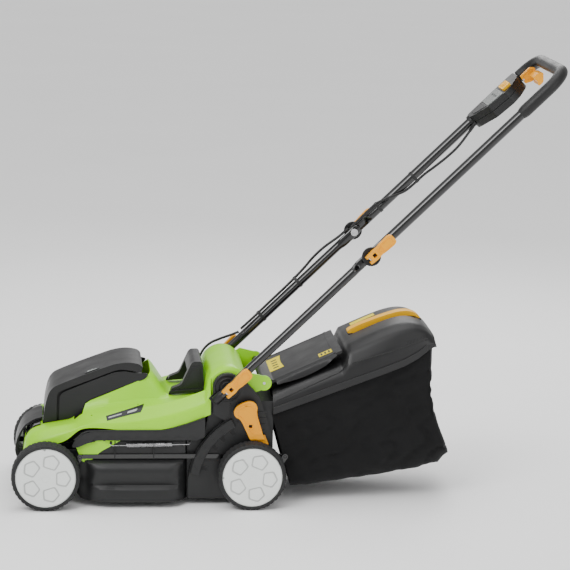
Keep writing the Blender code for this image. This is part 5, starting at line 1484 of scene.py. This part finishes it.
def cloth_ring(top_x, bottom_x, top, bottom, bend, half):
    """Section of the bag from the left top, under the bag, to the right top."""
    height = top - bottom
    points = [(half, 1.0), (half, 0.84), (half + 0.001, 0.68), (half + 0.0015, 0.52), (half + 0.001, 0.36),
              (half, 0.22), (half - 0.006, 0.1), (half - 0.022, 0.022), (half - 0.05, 0.0),
              (half * 0.3, -0.004)]
    side = [Vector((top_x + (bottom_x - top_x) * (1 - share) ** bend, -y, bottom + height * share)) for y,
            share in points]
    return side + opposite(reversed(side))


CREASE_WIDTH = 0.16


def wrinkle(p):
    """Depth of the folds at a point of the cloth, outward positive."""
    side = min(max((p.z - 0.045) / 0.05, 0.0), 1.0)
    soft = noise.noise(Vector((p.x * 9, p.y * 5, p.z * 9))) * 0.003
    along = noise.noise(Vector((p.x * 34 + p.z * 20, p.y * 7, p.z * 9 - p.x * 4 + 5))) * 0.0022
    crease = abs(noise.noise(Vector((p.x * 16 - p.z * 26, 3 + p.y * 4, p.z * 12 + p.x * 10))))
    sag = -0.003 * math.exp(-((p.z - 0.15 - 0.35 * (p.x - 0.6)) / 0.02) ** 2)
    wander = 3 * noise.noise(Vector((p.x * 8, p.y * 3, p.z * 8)))
    pull = 0.0024 * math.sin((p.x * 1.6 + p.z) * 78 + wander) * side
    sharp = 0.005 * max(0.0, CREASE_WIDTH - crease) / CREASE_WIDTH * side
    return soft + along - sharp + sag * side + pull * 0.55


def bag_cloth():
    """Cloth of the bag, hung from the lid's rim and spread at the mouth by the wire frame."""
    mesh = cloth_mesh()
    thing = piece("look_bag_cloth", mesh, CLOTH, "grass_bag", ("bag_cloth",), angle=70)


def cloth_mesh():
    """One woven sheet, folded round the sides and bottom and closed at the rear."""
    rows = []
    for k in range(len(CLOTH_ROWS) - 1):
        first, second = CLOTH_ROWS[k], CLOTH_ROWS[k + 1]
        steps = 14 if k < 3 else 6
        for step in range(steps):
            rows.append([a + (b - a) * (step / steps) for a, b in zip(first, second)])
    rows.append(list(CLOTH_ROWS[-1]))
    outline = []
    for values in rows:
        across = 0.1325 - 0.019 * min(max((values[0] - 0.52) / 0.34, 0), 1) ** 2
        outline.append(smooth(cloth_ring(*values, across), 5))
    last = outline[-1]
    for share, push in ((0.1, 0.006), (0.3, 0.008), (0.55, 0.007), (0.8, 0.004)):
        outline.append([Vector((p.x + push, p.y * (1 - share), p.z)) for p in last])
    work = bmesh.new()
    points = [[work.verts.new(p) for p in row] for row in outline]
    for first, second in zip(points, points[1:]):
        for j in range(len(first) - 1):
            work.faces.new((first[j], first[j + 1], second[j + 1], second[j]))
    final = points[-1]
    count = len(final)
    for j in range(count // 2 - 1):
        work.faces.new((final[j], final[j + 1], final[count - 2 - j], final[count - 1 - j]))
    bmesh.ops.remove_doubles(work, verts=work.verts, dist=0.0002)
    bmesh.ops.recalc_face_normals(work, faces=work.faces)
    work.normal_update()
    work.verts.ensure_lookup_table()
    lowest = min(work.verts, key=lambda v: v.co.z)
    sign = 1 if lowest.normal.z < 0 else -1
    mouth_x, mouth_top, mouth_lean = 0.496, 0.204, 0.27
    rim_low, rim_start, rim_slope = 0.203, 0.498, 0.37
    fade, at_rim, inset = 0.03, 0.15, 0.0025
    moves = []
    for vert in work.verts:
        p = vert.co
        edge = min(1.0, max(0.0, (p.x - mouth_x - (mouth_top - p.z) * mouth_lean) / fade))
        rim = rim_low + (p.x - rim_start) * rim_slope
        hem = min(1.0, max(0.0, (rim - p.z) / fade))
        moves.append(vert.normal * sign * (wrinkle(p) * edge * (at_rim + 0.85 * hem) - inset))
    for vert, move in zip(work.verts, moves):
        vert.co += move
    mesh = to_mesh(work)
    if sign < 0:
        mesh.flip_normals()
    return mesh


# ---------------------------------------------------------------- cable
def cables():
    """Control cable: one smooth length on each part of the handle and one to the cover, with clips."""
    upper = [handle_point(0.7985, -0.006, 0.1375), handle_point(0.77, -0.013, 0.137),
             handle_point(0.735, -0.019, 0.138), handle_point(0.7, -0.0195, 0.14),
             handle_point(0.665, -0.017, 0.143), handle_point(0.635, -0.0148, 0.149),
             handle_point(0.6, -0.0145, 0.15), handle_point(0.575, -0.01, 0.142),
             handle_point(0.545, 0.003, 0.1375), handle_point(0.515, 0.0135, 0.1385),
             handle_point(0.5, 0.0152, 0.1385), handle_point(0.45, 0.015, 0.1375),
             handle_point(0.432, 0.015, 0.1375)]
    lower = [handle_point(0.424, 0.0152, 0.1475), handle_point(0.395, 0.0165, 0.1475),
             handle_point(0.355, 0.0215, 0.1485), handle_point(0.32, 0.0215, 0.15),
             handle_point(0.285, 0.0175, 0.151), handle_point(0.24, 0.015, 0.152),
             handle_point(0.17, 0.0145, 0.152), handle_point(0.12, 0.015, 0.148),
             handle_point(0.086, 0.0175, 0.139)]
    body = [(0.44, 0.136, 0.331), (0.423, 0.13, 0.3255), (0.398, 0.116, 0.32), (0.372, 0.1, 0.312),
            (0.354, 0.088, 0.296), (0.344, 0.08, 0.272), (0.34, 0.078, 0.2425)]
    for name, route, rider in (("cable_upper", upper, "upper_handle"),
                               ("cable_lower", lower, "lower_handle"),
                               ("cable_body", [Vector(p) for p in body], "chassis")):
        piece(f"look_{name}", tube(smooth(route, 8), 0.003, sides=3), CABLE, rider, (name,),
              angle=60)
    for number, (distance, above, y) in enumerate(((0.614, -0.0145, 0.1495), (0.508, 0.0146, 0.1385))):
        clip(f"look_cable_clip_{number}", distance, above, y, 0.011, "upper_handle")
    for number, (distance, above, y) in enumerate(((0.255, 0.0152, 0.1518), (0.14, 0.0146, 0.1505))):
        clip(f"look_tube_clip_{number}", distance, above, y, 0.01, "lower_handle")
    collar = [Vector((0.3404, 0.0781, 0.247)), Vector((0.34, 0.078, 0.24))]
    piece("look_cable_entry", bar_of(collar, [0.0048, 0.0062], 20), CABLE, "chassis",
          bevel=0.0008)


def clip(name, distance, above, y, radius, rider):
    """A strap round the tube and the cable beside it."""
    centre = Vector((0.0, TUBE_Y))
    other = Vector((above, y))
    away = other - centre
    reach = away.length
    lean = math.atan2(away.y, away.x)
    cable_round = 0.0032
    spread = math.acos(max(-1, min(1, (radius - cable_round) / reach)))

    def loop(round_tube, round_cable):
        """Points round the tube and then round the cable."""
        out = []
        for middle, first, sweep, size, count in (
                (centre, lean + spread, 2 * math.pi - 2 * spread, round_tube, 25),
                (other, lean - spread, 2 * spread, round_cable, 9)):
            for k in range(count):
                a = first + sweep * k / (count - 1)
                out.append(middle + Vector((math.cos(a), math.sin(a))) * size)
        return out

    ring = loop(radius + 0.0009, 0.0041)
    inner = loop(radius + 0.0001, 0.0031)
    rows = []
    for points, shift in ((ring, -0.0035), (ring, 0.0035), (inner, 0.0035), (inner, -0.0035)):
        rows.append([handle_point(distance + shift, p.x, p.y) for p in points])
    piece(name, outward(grid(rows, wrap_rows=True, wrap_cols=True)), TRIM, rider)


# ---------------------------------------------------------------- studio
CAMERA_AT = (0.01493, -5.24878, 1.49982)
CAMERA_TURNS = (5.621, 11.072, 1.306)
FOCAL_LENGTH = 151.58


def studio():
    """Pale floor, soft lights and the camera of the photo."""
    far = 60.0
    floor_mesh = grid([[(-far, -far, 0.0), (far, -far, 0.0)], [(-far, far, 0.0), (far, far, 0.0)]])
    floor = linked("floor", floor_mesh)
    made, tree, shader = shader_of("paper")
    tone = ramp(tree, noise_node(tree, 1.5).outputs["Fac"],
                [(0.3, (0.94, 0.94, 0.94)), (0.7, (0.96, 0.96, 0.96))])
    tree.links.new(tone.outputs["Color"], shader.inputs["Base Color"])
    shader.inputs["Roughness"].default_value = 0.8
    floor_mesh.materials.append(made)
    for name, place, target, size, power in (("key", (-1.8, -2.4, 2.8), (0, 0, 0.3), 1.8, 62),
                                             ("fill", (2.2, -2.8, 1.6), (0, 0, 0.4), 2.2, 24),
                                             ("top", (0.1, 0.3, 3.2), (0, 0, 0.2), 2.6, 34),
                                             ("back", (0.6, 2.0, 2.0), (0, 0, 0.5), 1.6, 24)):
        lamp = bpy.data.lights.new(name, "AREA")
        lamp.shape = "DISK"
        lamp.size = size
        lamp.energy = power
        thing = linked(name, lamp)
        thing.location = place
        thing.rotation_euler = (Vector(target) - Vector(place)).to_track_quat("-Z", "Y").to_euler()
    sun = bpy.data.lights.new("sky", "SUN")
    sun.angle = 1.2
    sun.energy = 1.15
    thing = linked("sky", sun)
    thing.rotation_euler = (math.radians(22), math.radians(-18), 0)
    world = bpy.data.worlds.new("studio")
    world.use_nodes = True
    world.node_tree.nodes["Background"].inputs["Color"].default_value = (1, 1, 1, 1)
    world.node_tree.nodes["Background"].inputs["Strength"].default_value = 0.7
    bpy.context.scene.world = world
    yaw, pitch, roll = (math.radians(turn) for turn in CAMERA_TURNS)
    ahead = Vector((math.sin(yaw) * math.cos(pitch), math.cos(yaw) * math.cos(pitch), -math.sin(pitch)))
    level = Vector((math.cos(yaw), -math.sin(yaw), 0))
    up = level.cross(ahead)
    right = level * math.cos(roll) + up * math.sin(roll)
    top = up * math.cos(roll) - level * math.sin(roll)
    lens = bpy.data.cameras.new("camera")
    lens.sensor_width = 36
    lens.lens = FOCAL_LENGTH
    camera = linked("camera", lens)
    turn = Matrix((right, top, -ahead)).transposed()
    camera.matrix_world = Matrix.Translation(at(*CAMERA_AT)) @ turn.to_4x4()
    bpy.context.scene.camera = camera


# ---------------------------------------------------------------- the object
def kept_nodes():
    """CAD nodes that stay, with their materials and softened edges."""
    for node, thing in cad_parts.items():
        if thing.hide_render:
            continue
        _, look, edge = next(entry for entry in KEPT if node.startswith(entry[0]))
        cad(node, look, edge)


KEPT = (("front_axle", TUBE, 0.0004), ("rear_axle", TUBE, 0.0004), ("link_rod", TUBE, 0.0004),
        ("motor_shaft", STEEL, 0), ("motor", MOTOR, 0.0008), ("blade_hub", TRIM, 0.0006),
        ("blade_bolt", STEEL, 0.0004), ("blade", BLADE, 0.0004), ("battery_bay", BAY_BLACK_AND_SLOT_SHADE, 0.0006),
        ("battery_pack", TRIM, 0.0015), ("safety_key", LEVER, 0.0008), ("control_board", BOARD, 0.0003),
        ("flap_rod", STEEL, 0), ("flap_spring", STEEL, 0), ("bag_frame", TRIM, 0),
        ("lower_bolt", STEEL, 0.0004), ("upper_bolt", STEEL, 0.0004))


wheels()
cover()
battery_lid()
deck()
brackets()
cam_levers()
height_lever()
spring_coil()
handle_tubes()
switch_box()
grips_and_nose()
flap()
bag_lid()
bag_cloth()
cables()
kept_nodes()
studio()
